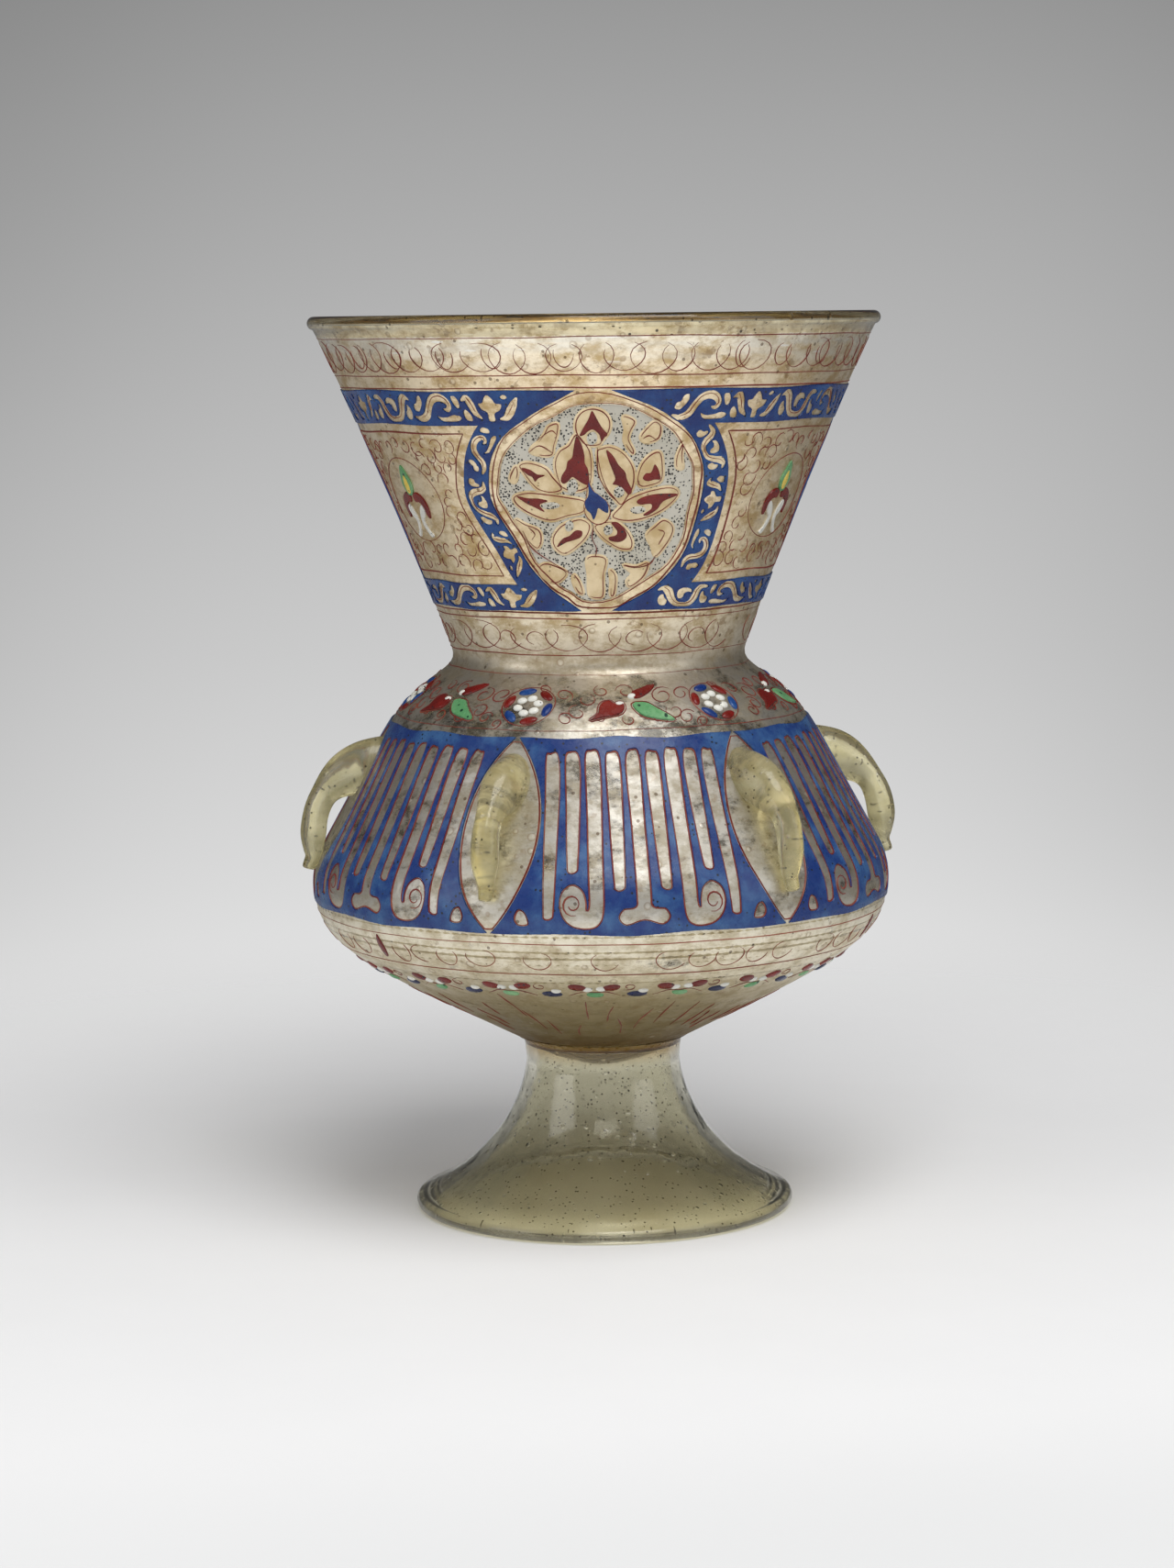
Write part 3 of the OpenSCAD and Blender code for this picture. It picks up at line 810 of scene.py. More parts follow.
@dataclass(frozen=True)
class WornGilding(Finish):
    """Burnished gold film, rubbed thin in places; its tone and cover follow the height on the lamp."""

    tones: tuple = ()
    covers: tuple = ()
    # real brown stain, also laid as painted shade round the seeds
    stain_and_seed_shade: Colour = linear(132, 98, 58)
    bloom: Colour = linear(206, 208, 214)
    # clear and dash: colours of the painted highlights, pale streaks and bright dashes along the striae
    clear: Colour = linear(226, 224, 216)
    dash: Colour = linear(250, 248, 240)
    # colour of the painted glint in the seeds
    seed_glint: Colour = linear(246, 240, 224)
    pit_colour: Colour = linear(84, 60, 36)
    shoulder_shade: Colour = linear(218, 211, 196)
    neck_shade: Colour = linear(196, 180, 148)
    neck_low: float = 196.0
    neck_top: float = 222.0
    rim_low: float = 297.0
    rim_top: float = 313.0
    stretch: tuple[float, float, float] = (1.0, 1.0, 1.7)

    def shader(self, nodes: Nodes) -> Socket:
        """Satin metal-like film with alpha wear, painted highlights along the striae, and painted glints and
        shade in the seeds.

        Args:
            nodes: Nodes of the material.

        Returns:
            The shader.
        """
        z = nodes.axes()["Z"]
        neck = nodes.span(z, self.neck_low * MM, self.neck_top * MM)
        # share of the painted highlights on the striae, strongest at the rim
        rim = nodes.span(z, self.rim_low * MM, self.rim_top * MM, 0.08, 1.0)
        drawn = nodes.add("ShaderNodeMapping", {"Vector": nodes.where(), "Scale": self.stretch}).outputs[0]
        grain = nodes.span(nodes.noise(95.0, 9.0, drawn, 0.74), 0.36, 0.62)
        striae = effect(nodes, Effect.STRIAE, Round=6.0, Rise=460.0, Size=0.15, Share=0.3)
        bubbles = effect(nodes, Effect.BUBBLES, Scale=190.0, Size=0.24, Share=0.3)
        colour = self._tone(nodes, z, neck, grain)
        # painted highlights: paler streaks and bright dashes along the striae, strongest at the rim
        colour = nodes.over(colour, striae["Streak"], nodes.times(rim, 0.5), self.clear)
        colour = nodes.over(colour, striae["Dash"], nodes.times(rim, 0.9), self.dash)
        # dark rings at the seeds' edges: painted shade, in the stain colour
        colour = nodes.over(colour, bubbles["Ring"], 0.4, self.stain_and_seed_shade)
        # bright seed domes: a painted glint of light
        colour = nodes.over(colour, bubbles["Height"], 0.3, self.seed_glint)
        colour = nodes.over(colour, specks(nodes, 430.0, 0.27, 0.07), 0.65, self.pit_colour)
        height = nodes.math("ADD", nodes.noise(420.0, 4.0), nodes.times(bubbles["Height"], 0.8))
        height = nodes.math("ADD", height, nodes.times(striae["Dash"], rim))
        matt = nodes.span(neck, 0.0, 1.0, 0.13, 0.0)
        rough = nodes.math("ADD", nodes.span(grain, 0.0, 1.0, 0.42, 0.28), matt)
        return nodes.surface(colour, rough, {"Metallic": 0.9, "Alpha": self._cover(nodes, z, drawn),
                                             "Normal": nodes.bump(height, 0.25, 0.0006)})

    def _tone(self, nodes: Nodes, z: Socket, neck: Socket, grain: Socket) -> Socket:
        """Colour of the film by height, with its grain, stains and bloom.

        Args:
            nodes: Nodes of the material.
            z: Height in metres.
            neck: Share of the neck at that height.
            grain: Grain of the film, from 0 to 1.

        Returns:
            The colour.
        """
        tone = nodes.graded(z, [(height * MM, colour) for height, colour in self.tones])
        shade = nodes.mix(neck, self.shoulder_shade, self.neck_shade)
        dark = nodes.add("ShaderNodeMixRGB", {0: 1.0, 1: tone, 2: shade}, blend_type="MULTIPLY").outputs[0]
        colour = nodes.mix(grain, dark, tone)
        stained = nodes.span(neck, 0.0, 1.0, 0.28, 0.55)
        colour = nodes.over(colour, clouds(nodes, 190.0, 0.59, 0.64), stained, self.stain_and_seed_shade)
        return nodes.over(colour, clouds(nodes, 46.0, 0.62, 0.74), 0.3, self.bloom)

    def _cover(self, nodes: Nodes, z: Socket, drawn: Socket) -> Socket:
        """Alpha of the film: its cover by height, worn in patches.

        Args:
            nodes: Nodes of the material.
            z: Height in metres.
            drawn: Coordinates of the patches.

        Returns:
            The alpha.
        """
        cover = nodes.graded(z, [(height * MM, (share, share, share, 1.0)) for height, share in self.covers])
        cover = nodes.add("ShaderNodeSeparateColor", {0: cover}).outputs[0]
        patch = nodes.math("SUBTRACT", nodes.noise(60.0, 9.0, drawn, 0.72), 0.5)
        return nodes.span(nodes.math("ADD", nodes.times(patch, 2.6), cover), 0.15, 0.65, 0.1, 0.98)


@dataclass(frozen=True)
class GoldLeaf(Finish):
    """Solid gold of the flower and its leaves, pale with darker clouds of wear."""

    colour: Colour = linear(230, 210, 172)
    dark: Colour = linear(198, 172, 126)
    pit_colour: Colour = linear(92, 66, 40)

    def shader(self, nodes: Nodes) -> Socket:
        """Satin gold with drifting tone.

        Args:
            nodes: Nodes of the material.

        Returns:
            The shader.
        """
        colour = nodes.mix(clouds(nodes, 110.0, 0.35, 0.68), self.colour, self.dark)
        colour = nodes.over(colour, specks(nodes, 600.0, 0.25, 0.08), 0.6, self.pit_colour)
        rough = nodes.span(nodes.noise(180.0), 0.3, 0.7, 0.3, 0.48)
        normal = nodes.bump(nodes.noise(350.0), 0.25, 0.0005)
        return nodes.surface(colour, rough, {"Metallic": 0.6, "Normal": normal})


@dataclass(frozen=True)
class DrawnLine(Finish):
    """Thin red-brown drawing, paler where it has worn."""

    colour: Colour = linear(116, 34, 24)
    faded: Colour = linear(148, 78, 56)

    def shader(self, nodes: Nodes) -> Socket:
        """Half-matt line colour."""
        colour = nodes.mix(clouds(nodes, 140.0, 0.45, 0.7), self.colour, self.faded)
        return nodes.surface(colour, nodes.span(nodes.noise(300.0), 0.3, 0.7, 0.4, 0.6))


@dataclass(frozen=True)
class OldBrass(Finish):
    """Dull brass with brown tarnish and fine scratches."""

    colour: Colour = linear(196, 164, 98)
    tarnish: Colour = linear(118, 92, 52)

    def shader(self, nodes: Nodes) -> Socket:
        """Metal with tarnish in clouds.

        Args:
            nodes: Nodes of the material.

        Returns:
            The shader.
        """
        dull = clouds(nodes, 130.0, 0.4, 0.65)
        normal = nodes.bump(nodes.noise(900.0), 0.15, 0.0003)
        colour, rough = nodes.mix(dull, self.colour, self.tarnish), nodes.span(dull, 0.0, 1.0, 0.28, 0.55)
        return nodes.surface(colour, rough, {"Metallic": 1.0, "Normal": normal})


@dataclass(frozen=True)
class TwistedCotton(Finish):
    """Cream cotton with slanting strands."""

    colour: Colour = linear(222, 212, 188)
    shade: Colour = linear(168, 154, 126)

    def shader(self, nodes: Nodes) -> Socket:
        """Strands from a wave that climbs round the wick, with painted shade between them.

        Args:
            nodes: Nodes of the material.

        Returns:
            The shader.
        """
        wave = {"Vector": nodes.where(), "Scale": 260.0, "Distortion": 1.2}
        strand = nodes.add("ShaderNodeTexWave", wave, bands_direction="DIAGONAL").outputs["Fac"]
        rough = nodes.span(strand, 0.0, 1.0, 0.8, 0.95)
        # darker between the strands: painted shade in the grooves of the twist
        return nodes.surface(nodes.mix(strand, self.shade, self.colour), rough,
                             {"Normal": nodes.bump(strand, 0.6, 0.0005)})


@dataclass(frozen=True)
class FloorPaper(Finish):
    """Pale paper that fades out away from the lamp."""

    colour: Colour = linear(244, 244, 244)
    light: Colour = linear(248, 248, 248)
    # paper colour towards the front: painted shade
    front: Colour = linear(222, 223, 223)

    def shader(self, nodes: Nodes) -> Socket:
        """Matt paper with painted shade towards the front, clear far from the lamp.

        Args:
            nodes: Nodes of the material.

        Returns:
            The shader.
        """
        far = nodes.add("ShaderNodeVectorMath", {0: nodes.where()}, operation="LENGTH").outputs["Value"]
        grain = nodes.mix(nodes.noise(14.0), self.colour, self.light)
        # darker towards the front of the floor: painted shade
        grain = nodes.mix(nodes.span(nodes.axes()["Y"], -0.26, -0.46), grain, self.front)
        clear = nodes.add("ShaderNodeBsdfTransparent").outputs[0]
        return nodes.either(nodes.span(far, 0.2, 0.66), nodes.surface(grain, 0.7), clear)


BODY_GLASS = BlownGlass("body_glass_finish", linear(222, 214, 190), linear(208, 197, 168), seeds=190.0)
FOOT_GLASS = BlownGlass("foot_glass_finish", linear(218, 214, 193), linear(208, 202, 178), seeds=260.0,
                        seed_share=0.5, wave=34.0, bump=0.35, joint_z=58.0, pale_z=36.0)
LOOP_GLASS = BlownGlass("loop_glass_finish", linear(225, 218, 180), linear(209, 200, 152), seeds=260.0,
                        seed_share=0.5, wave=60.0, bump=0.5, rough=0.13, clarity=0.86)
CUP_GLASS = BlownGlass("cup_glass_finish", linear(240, 241, 234), linear(232, 233, 222), seeds=210.0,
                       seed_share=0.2, wave=40.0, bump=0.12)
BLUE = FiredEnamel("blue_enamel_finish", linear(12, 44, 110), linear(34, 84, 146))
SHOULDER_BLUE = FiredEnamel("shoulder_blue_enamel_finish", linear(26, 52, 112), linear(60, 98, 144))
DARK_BLUE = FiredEnamel("dark_blue_enamel_finish", linear(20, 28, 66), linear(32, 44, 92))
RED = FiredEnamel("red_enamel_finish", linear(102, 16, 10), linear(128, 28, 20), pit_share=0.05)
WHITE = FiredEnamel("white_enamel_finish", linear(232, 231, 222), linear(212, 212, 203), pit_share=0.04)
GROUND = FiredEnamel("medallion_ground_finish", linear(222, 217, 202), linear(202, 196, 178),
                     linear(40, 36, 34), pit_scale=1150.0, pit_size=0.4, pit_share=0.95, gloss=0.36,
                     cloud_scale=60.0, pit_patch=120.0)
GREEN = FiredEnamel("green_enamel_finish", linear(90, 150, 98), linear(132, 180, 130), linear(20, 60, 40),
                    pit_scale=460.0, pit_share=0.2)
YELLOW = FiredEnamel("yellow_enamel_finish", linear(222, 190, 64), linear(236, 212, 110), linear(60, 50, 20),
                     pit_share=0.2)
SEAM = FiredEnamel("seam_finish", linear(124, 96, 50), linear(160, 136, 88), linear(70, 52, 30),
                   pit_scale=420.0, pit_size=0.25, pit_share=0.2)
GOLD = GoldLeaf("gold_leaf_finish")
LINE = DrawnLine("red_drawing_finish")
FAINT_LINE = DrawnLine("faint_drawing_finish", linear(138, 66, 44), linear(164, 108, 80))
BRASS = OldBrass("old_brass_finish")
COTTON = TwistedCotton("cotton_finish")
PAPER = FloorPaper("floor_paper")
FILM = WornGilding(
    "worn_gilding_finish",
    tones=((63, linear(132, 106, 62)), (72, linear(164, 148, 112)), (86, linear(194, 181, 149)),
           (97, linear(234, 226, 204)), (114, linear(238, 231, 211)), (120, linear(204, 200, 190)),
           (170, linear(196, 191, 181)), (180, linear(216, 211, 199)), (194, linear(214, 206, 190)),
           (202, linear(204, 193, 172)), (214, linear(232, 220, 195)), (226, linear(242, 224, 189)),
           (300, linear(244, 226, 194)), (310, linear(254, 244, 222)), (317, linear(254, 251, 240))),
    covers=((63, 0.9), (72, 0.85), (86, 0.85), (97, 0.9), (113, 0.85), (120, 0.6), (170, 0.6), (178, 0.48),
            (190, 0.5), (198, 0.8), (206, 0.95), (309, 0.98), (317, 0.9)))


def select_only(piece: Piece) -> None:
    """Deselect all, then select one object and make it active.

    Args:
        piece: The object.
    """
    bpy.ops.object.select_all(action="DESELECT")
    piece.select_set(True)
    bpy.context.view_layer.objects.active = piece


def placed(name: str, data: bpy.types.ID) -> Piece:
    """New object for some data, linked to the scene and the only one selected.

    Args:
        name: Name of the object.
        data: Its mesh, curve or light.

    Returns:
        The object.
    """
    piece = bpy.data.objects.new(name, data)
    bpy.context.collection.objects.link(piece)
    select_only(piece)
    return piece


def meshed(name: str, points: np.ndarray, edges: Sequence[Any], faces: Sequence[Any]) -> Piece:
    """New piece from points in metres and the edges or faces between them.

    Args:
        name: Name of the piece.
        points: Its points.
        edges: Its loose edges.
        faces: Its faces.

    Returns:
        The piece.
    """
    mesh = bpy.data.meshes.new(name)
    mesh.from_pydata(points.tolist(), edges, faces)
    return placed(name, mesh)


@contextmanager
def editing(piece: Piece) -> Iterator[None]:
    """Edit mode with all of a piece selected.

    Args:
        piece: The piece.

    Yields:
        Nothing, while the piece is edited.
    """
    select_only(piece)
    bpy.ops.object.mode_set(mode="EDIT")
    bpy.ops.mesh.select_all(action="SELECT")
    yield
    bpy.ops.object.mode_set(mode="OBJECT")


def face_outwards() -> None:
    """Turn all faces of the piece that is being edited outwards."""
    bpy.ops.mesh.select_all(action="SELECT")
    bpy.ops.mesh.normals_make_consistent(inside=False)


def settle(piece: Piece, finish: Finish, replaces: Sequence[str] = (),
           smooth_angle: float = 40.0) -> Piece:
    """Finish a piece: smooth shading, material, the body that it rides on, and the nodes it stands for.

    Args:
        piece: The piece.
        finish: Its finish.
        replaces: CAD nodes that it replaces.
        smooth_angle: Edges sharper than this stay crisp, in degrees.

    Returns:
        The same piece.
    """
    select_only(piece)
    bpy.ops.object.shade_smooth_by_angle(angle=math.radians(smooth_angle))
    piece.data.materials.clear()
    piece.data.materials.append(finish.material())
    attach(piece, LAMP)
    if replaces:
        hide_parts(*replaces)
    LOG.info("%s: %d faces", piece.name, len(piece.data.polygons))
    return piece


def turned(name: str, chain: np.ndarray, steps: int = 192, merge: float = 1e-6) -> Piece:
    """Spin a chain of radius and height round the lamp's axis.

    Args:
        name: Name of the piece.
        chain: Radius and height of each point, in millimetres.
        steps: Steps round the axis.
        merge: Points nearer than this are merged, in metres.

    Returns:
        The turned piece, merged at its seam and poles, with its normals outwards.
    """
    points = np.stack([chain[:, 0], np.zeros(len(chain)), chain[:, 1]], 1) * MM
    piece = meshed(name, points, [(i, i + 1) for i in range(len(points) - 1)], [])
    with editing(piece):
        bpy.ops.mesh.spin(steps=steps, angle=math.tau, center=(0, 0, 0), axis=(0, 0, 1))
        bpy.ops.mesh.select_all(action="SELECT")
        bpy.ops.mesh.remove_doubles(threshold=merge)
        face_outwards()
    return piece


def ring_faces(rows: int, columns: int) -> tuple[np.ndarray, list[list[int]]]:
    """Numbers of a grid of points that closes sideways, row by row, and the faces between them.

    Args:
        rows: Number of rows.
        columns: Points in a row.

    Returns:
        The numbers and the faces.
    """
    number = np.arange(rows * columns).reshape(rows, columns)
    right = np.roll(number, -1, 1)
    return number, np.stack([number[:-1], right[:-1], right[1:], number[1:]], -1).reshape(-1, 4).tolist()


def get_points(mesh: bpy.types.Mesh) -> np.ndarray:
    """Vertex places of a mesh as an array.

    Args:
        mesh: The mesh.

    Returns:
        One row of x, y and z to a vertex.
    """
    points = np.empty(len(mesh.vertices) * 3)
    mesh.vertices.foreach_get("co", points)
    return points.reshape(-1, 3)


def set_points(mesh: bpy.types.Mesh, points: np.ndarray) -> None:
    """Move a mesh's vertices to new places."""
    mesh.vertices.foreach_set("co", np.ascontiguousarray(points).ravel())
    mesh.update()


def spline_through(curve: bpy.types.Curve, points: np.ndarray, closed: bool) -> bpy.types.Spline:
    """Add straight steps through points to a curve, as a new spline.

    Args:
        curve: The curve.
        points: The points.
        closed: True if the spline ends where it starts.

    Returns:
        The spline.
    """
    spline = curve.splines.new("POLY")
    spline.points.add(len(points) - 1)
    spline.points.foreach_set("co", np.column_stack([points, np.ones(len(points))]).ravel())
    spline.use_cyclic_u = closed
    return spline


def curve_to_mesh(name: str, curve: bpy.types.Curve) -> Piece:
    """Piece made from a curve and turned into a mesh.

    Args:
        name: Name of the piece.
        curve: The curve.

    Returns:
        The piece.
    """
    placed(name, curve)
    bpy.ops.object.convert(target="MESH")
    return bpy.context.view_layer.objects.active


def diced(piece: Piece, step: float, merge: float = 1e-4) -> None:
    """Cut a flat piece into small faces that look up.

    Args:
        piece: The piece, flat in x and y.
        step: Size of the faces.
        merge: Points nearer than this are merged first.
    """
    points = get_points(piece.data)
    low, high = points.min(0), points.max(0)
    shape = bmesh.new()
    shape.from_mesh(piece.data)
    bmesh.ops.remove_doubles(shape, verts=shape.verts[:], dist=merge)
    for axis in (0, 1):
        plane_no = Vector((1.0 - axis, float(axis), 0.0))
        for at in np.arange(low[axis] + step / 2, high[axis], step):
            everything = shape.verts[:] + shape.edges[:] + shape.faces[:]
            bmesh.ops.bisect_plane(shape, geom=everything, plane_co=plane_no * float(at), plane_no=plane_no)
    for face in shape.faces:
        face.normal_update()
        if face.normal.z < 0:
            face.normal_flip()
    shape.to_mesh(piece.data)
    shape.free()


def pad(name: str, outlines: Sequence[Outline], thickness: float = 0.5, lift: float = 0.03,
        bevel: float = 0.2, step: float = 3.0, side: float = 0.45) -> Piece:
    """Raised layer on the glass, with holes where outlines lie inside others.

    The outlines are filled flat, cut into small faces, raised with a sloped edge and wrapped onto the body.

    Args:
        name: Name of the piece.
        outlines: Closed outlines as azimuth and height.
        thickness: Height of the layer.
        lift: Height of its underside above the glass.
        bevel: Width of its sloped edge.
        step: Size of the faces, so that the layer follows the curve.
        side: Share of the thickness below the sloped edge.

    Returns:
        The piece.
    """
    heights = np.vstack(outlines)[:, 1]
    ring_r = float(GLASS.radius((heights.min() + heights.max()) / 2))
    curve = bpy.data.curves.new(name, "CURVE")
    curve.dimensions = "2D"
    curve.fill_mode = "BOTH"
    for outline in outlines:
        across = np.radians(outline[:, 0]) * ring_r
        spline_through(curve, np.stack([across, outline[:, 1], np.zeros(len(outline))], 1), True)
    piece = curve_to_mesh(name, curve)
    diced(piece, step)
    with editing(piece):
        bpy.ops.mesh.extrude_region_move(TRANSFORM_OT_translate={"value": (0.0, 0.0, side)})
        bpy.ops.mesh.inset(thickness=bevel, depth=1.0 - side, use_boundary=True)
        face_outwards()
    x, y, rise = get_points(piece.data).T
    set_points(piece.data, GLASS.place(np.degrees(x / ring_r), y, lift + rise * thickness))
    return piece


def pressed(along: np.ndarray, number: int, closed: bool) -> np.ndarray:
    """Share of a pen line's width along it: a line swells, and an open one thins to its ends.

    Args:
        along: Places along the line, from 0 to 1.
        number: Number of the line.
        closed: True for a closed line.

    Returns:
        The share at each place.
    """
    swell = 0.85 + 0.25 * np.sin(9.0 * along + number)
    ends = 0.45 + 0.55 * np.minimum(1.0, 6.0 * np.minimum(along, 1.0 - along))
    return swell if closed else swell * ends


def drawing(name: str, lines: Sequence[Outline], width: float = 0.42, lift: float = 0.08) -> Piece:
    """Thin raised lines on the glass.

    Args:
        name: Name of the piece.
        lines: Lines as azimuth and height.
        width: Width of a line at its middle.
        lift: Height of the line's middle above the glass.

    Returns:
        The piece, as a mesh.
    """
    curve = bpy.data.curves.new(name, "CURVE")
    curve.dimensions = "3D"
    curve.bevel_depth = width / 2 * MM
    curve.bevel_resolution = 0
    curve.use_fill_caps = True
    for number, line in enumerate(lines):
        closed = np.allclose(line[0], line[-1])
        line = line[:-1] if closed else line
        spline = spline_through(curve, GLASS.place(line[:, 0], line[:, 1], lift), closed)
        spline.points.foreach_set("radius", pressed(np.linspace(0.0, 1.0, len(line)), number, closed))
    return curve_to_mesh(name, curve)


@dataclass(frozen=True)
class Drop:
    """One small heap of enamel: its place, its half sizes along and up the wall, and its turn."""

    azimuth: float
    z: float
    half_l: float
    half_w: float
    turn: float = 0.0

    @classmethod
    def beside(cls, z: float, azimuth: float, x: float, y: float, *form: float) -> "Drop":
        """Heap at x along the wall and y up the slope from a flower's middle, with half sizes and turn."""
        at = float(GLASS.slid(z, y))
        return cls(azimuth + math.degrees(x / float(GLASS.radius(at))), at, *form)


def drops(name: str, places: Sequence[Drop], height: float = 0.75, lift: float = 0.03, segments: int = 14,
          rings: int = 8) -> Piece:
    """Small domed heaps of enamel, modelled once and copied.

    Args:
        name: Name of the piece.
        places: The heaps.
        height: Height of a heap.
        lift: Height of its underside above the glass.
        segments: Faces round a heap.
        rings: Rings of the whole ball, of which a heap is half.

    Returns:
        The piece.
    """
    bpy.ops.object.select_all(action="DESELECT")
    bpy.ops.mesh.primitive_uv_sphere_add(segments=segments, ring_count=rings, radius=1.0)
    model = bpy.context.view_layer.objects.active
    with editing(model):
        bpy.ops.mesh.bisect(plane_co=(0, 0, 0), plane_no=(0, 0, 1), clear_inner=True, use_fill=True)
    shape = get_points(model.data)
    faces = [tuple(f.vertices) for f in model.data.polygons]
    bpy.data.objects.remove(model)
    points, polygons = [], []
    for drop in places:
        flat = shape[:, :2] * [drop.half_l, drop.half_w]
        spot = GLASS.spot(drop.azimuth, drop.z, flat, upright=False, turn=drop.turn)
        polygons += [tuple(i + len(points) * len(shape) for i in f) for f in faces]
        points.append(GLASS.place(spot[:, 0], spot[:, 1], lift + shape[:, 2] * height))
    return meshed(name, np.vstack(points), [], polygons)


def level_line(z: float, waver: float = 0.35, seed: int = 0) -> Outline:
    """Hand-drawn line all the way round the lamp at a height.

    Args:
        z: Height of the line.
        waver: How far the hand strays.
        seed: Changes the hand's path.

    Returns:
        The line.
    """
    a = np.linspace(0.0, TURN, 225)
    t = np.radians(a)
    stray = np.sin(3 * t + seed) + 0.6 * np.sin(7 * t + 2.3 * seed) + 0.4 * np.sin(17 * t + seed * 1.7)
    return np.stack([a, z + waver * stray / 2], 1)


def running_scroll(z: float, half_h: float, half_w: float, pitch: float, seed: int, keep: float = 0.8,
                   sweeps: tuple[float, float] = (170.0, 300.0)) -> list[Outline]:
    """Row of open pen arcs round the lamp, each hanging between its neighbours, with worn gaps.

    Args:
        z: Middle height.
        half_h: Half height of an arc, negative to hang it the other way.
        half_w: Half width of an arc.
        pitch: Length along the wall from arc to arc.
        seed: Seed of the hand and of the gaps.
        keep: Share of the strokes that are left.
        sweeps: Least and greatest turn of a stroke, in degrees.

    Returns:
        The strokes.
    """
    hand = np.random.default_rng(SEED + seed)
    radius = float(GLASS.radius(z))
    count = max(6, round(math.tau * radius / pitch))
    strokes = []
    for i in range(count):
        begin, sweep = hand.uniform(95, 165), hand.uniform(*sweeps)
        tall, wide = half_h * hand.uniform(0.85, 1.02), half_w * hand.uniform(0.85, 1.2)
        shift, rise = hand.uniform(-0.12, 0.12) * pitch, hand.uniform(-0.4, 0.4)
        if hand.random() > keep:
            continue
        t = np.radians(np.linspace(begin, begin + sweep, 16))
        x = pitch * i + shift + wide * np.cos(t) * (1.0 + 0.12 * np.sin(t))
        strokes.append(np.stack([np.degrees(x / radius), z + rise + tall * np.sin(t)], 1))
    return strokes


def curl(radius: float, turns: float, start: float, way: float = 1.0) -> Outline:
    """Small spiral pen stroke.

    Args:
        radius: Outer radius.
        turns: Number of turns.
        start: Angle at which it starts, in degrees.
        way: 1 for anticlockwise, -1 for clockwise.

    Returns:
        Points of the stroke in millimetres.
    """
    t = np.linspace(0.0, 1.0, max(8, int(14 * turns)))
    a = math.radians(start) + way * math.tau * turns * t
    r = radius * (1.0 - 0.62 * t)
    return np.stack([r * np.cos(a), r * np.sin(a)], 1)


@dataclass(frozen=True)
class SoftBox:
    """One studio lamp: its place and size in metres, its power, and whether it shows as a gloss."""

    name: str
    place: tuple[float, float, float]
    size: tuple[float, float]
    power: float
    shows: bool = True

    def hang(self, aim: Vector) -> None:
        """Make the lamp and turn it towards a point.

        Args:
            aim: The point.
        """
        data = bpy.data.lights.new(self.name, "AREA")
        data.shape = "RECTANGLE"
        data.size, data.size_y = self.size
        data.energy = self.power
        lamp = placed(self.name, data)
        lamp.location = self.place
        lamp.visible_glossy = self.shows
        lamp.rotation_euler = (aim - Vector(self.place)).to_track_quat("-Z", "Y").to_euler()


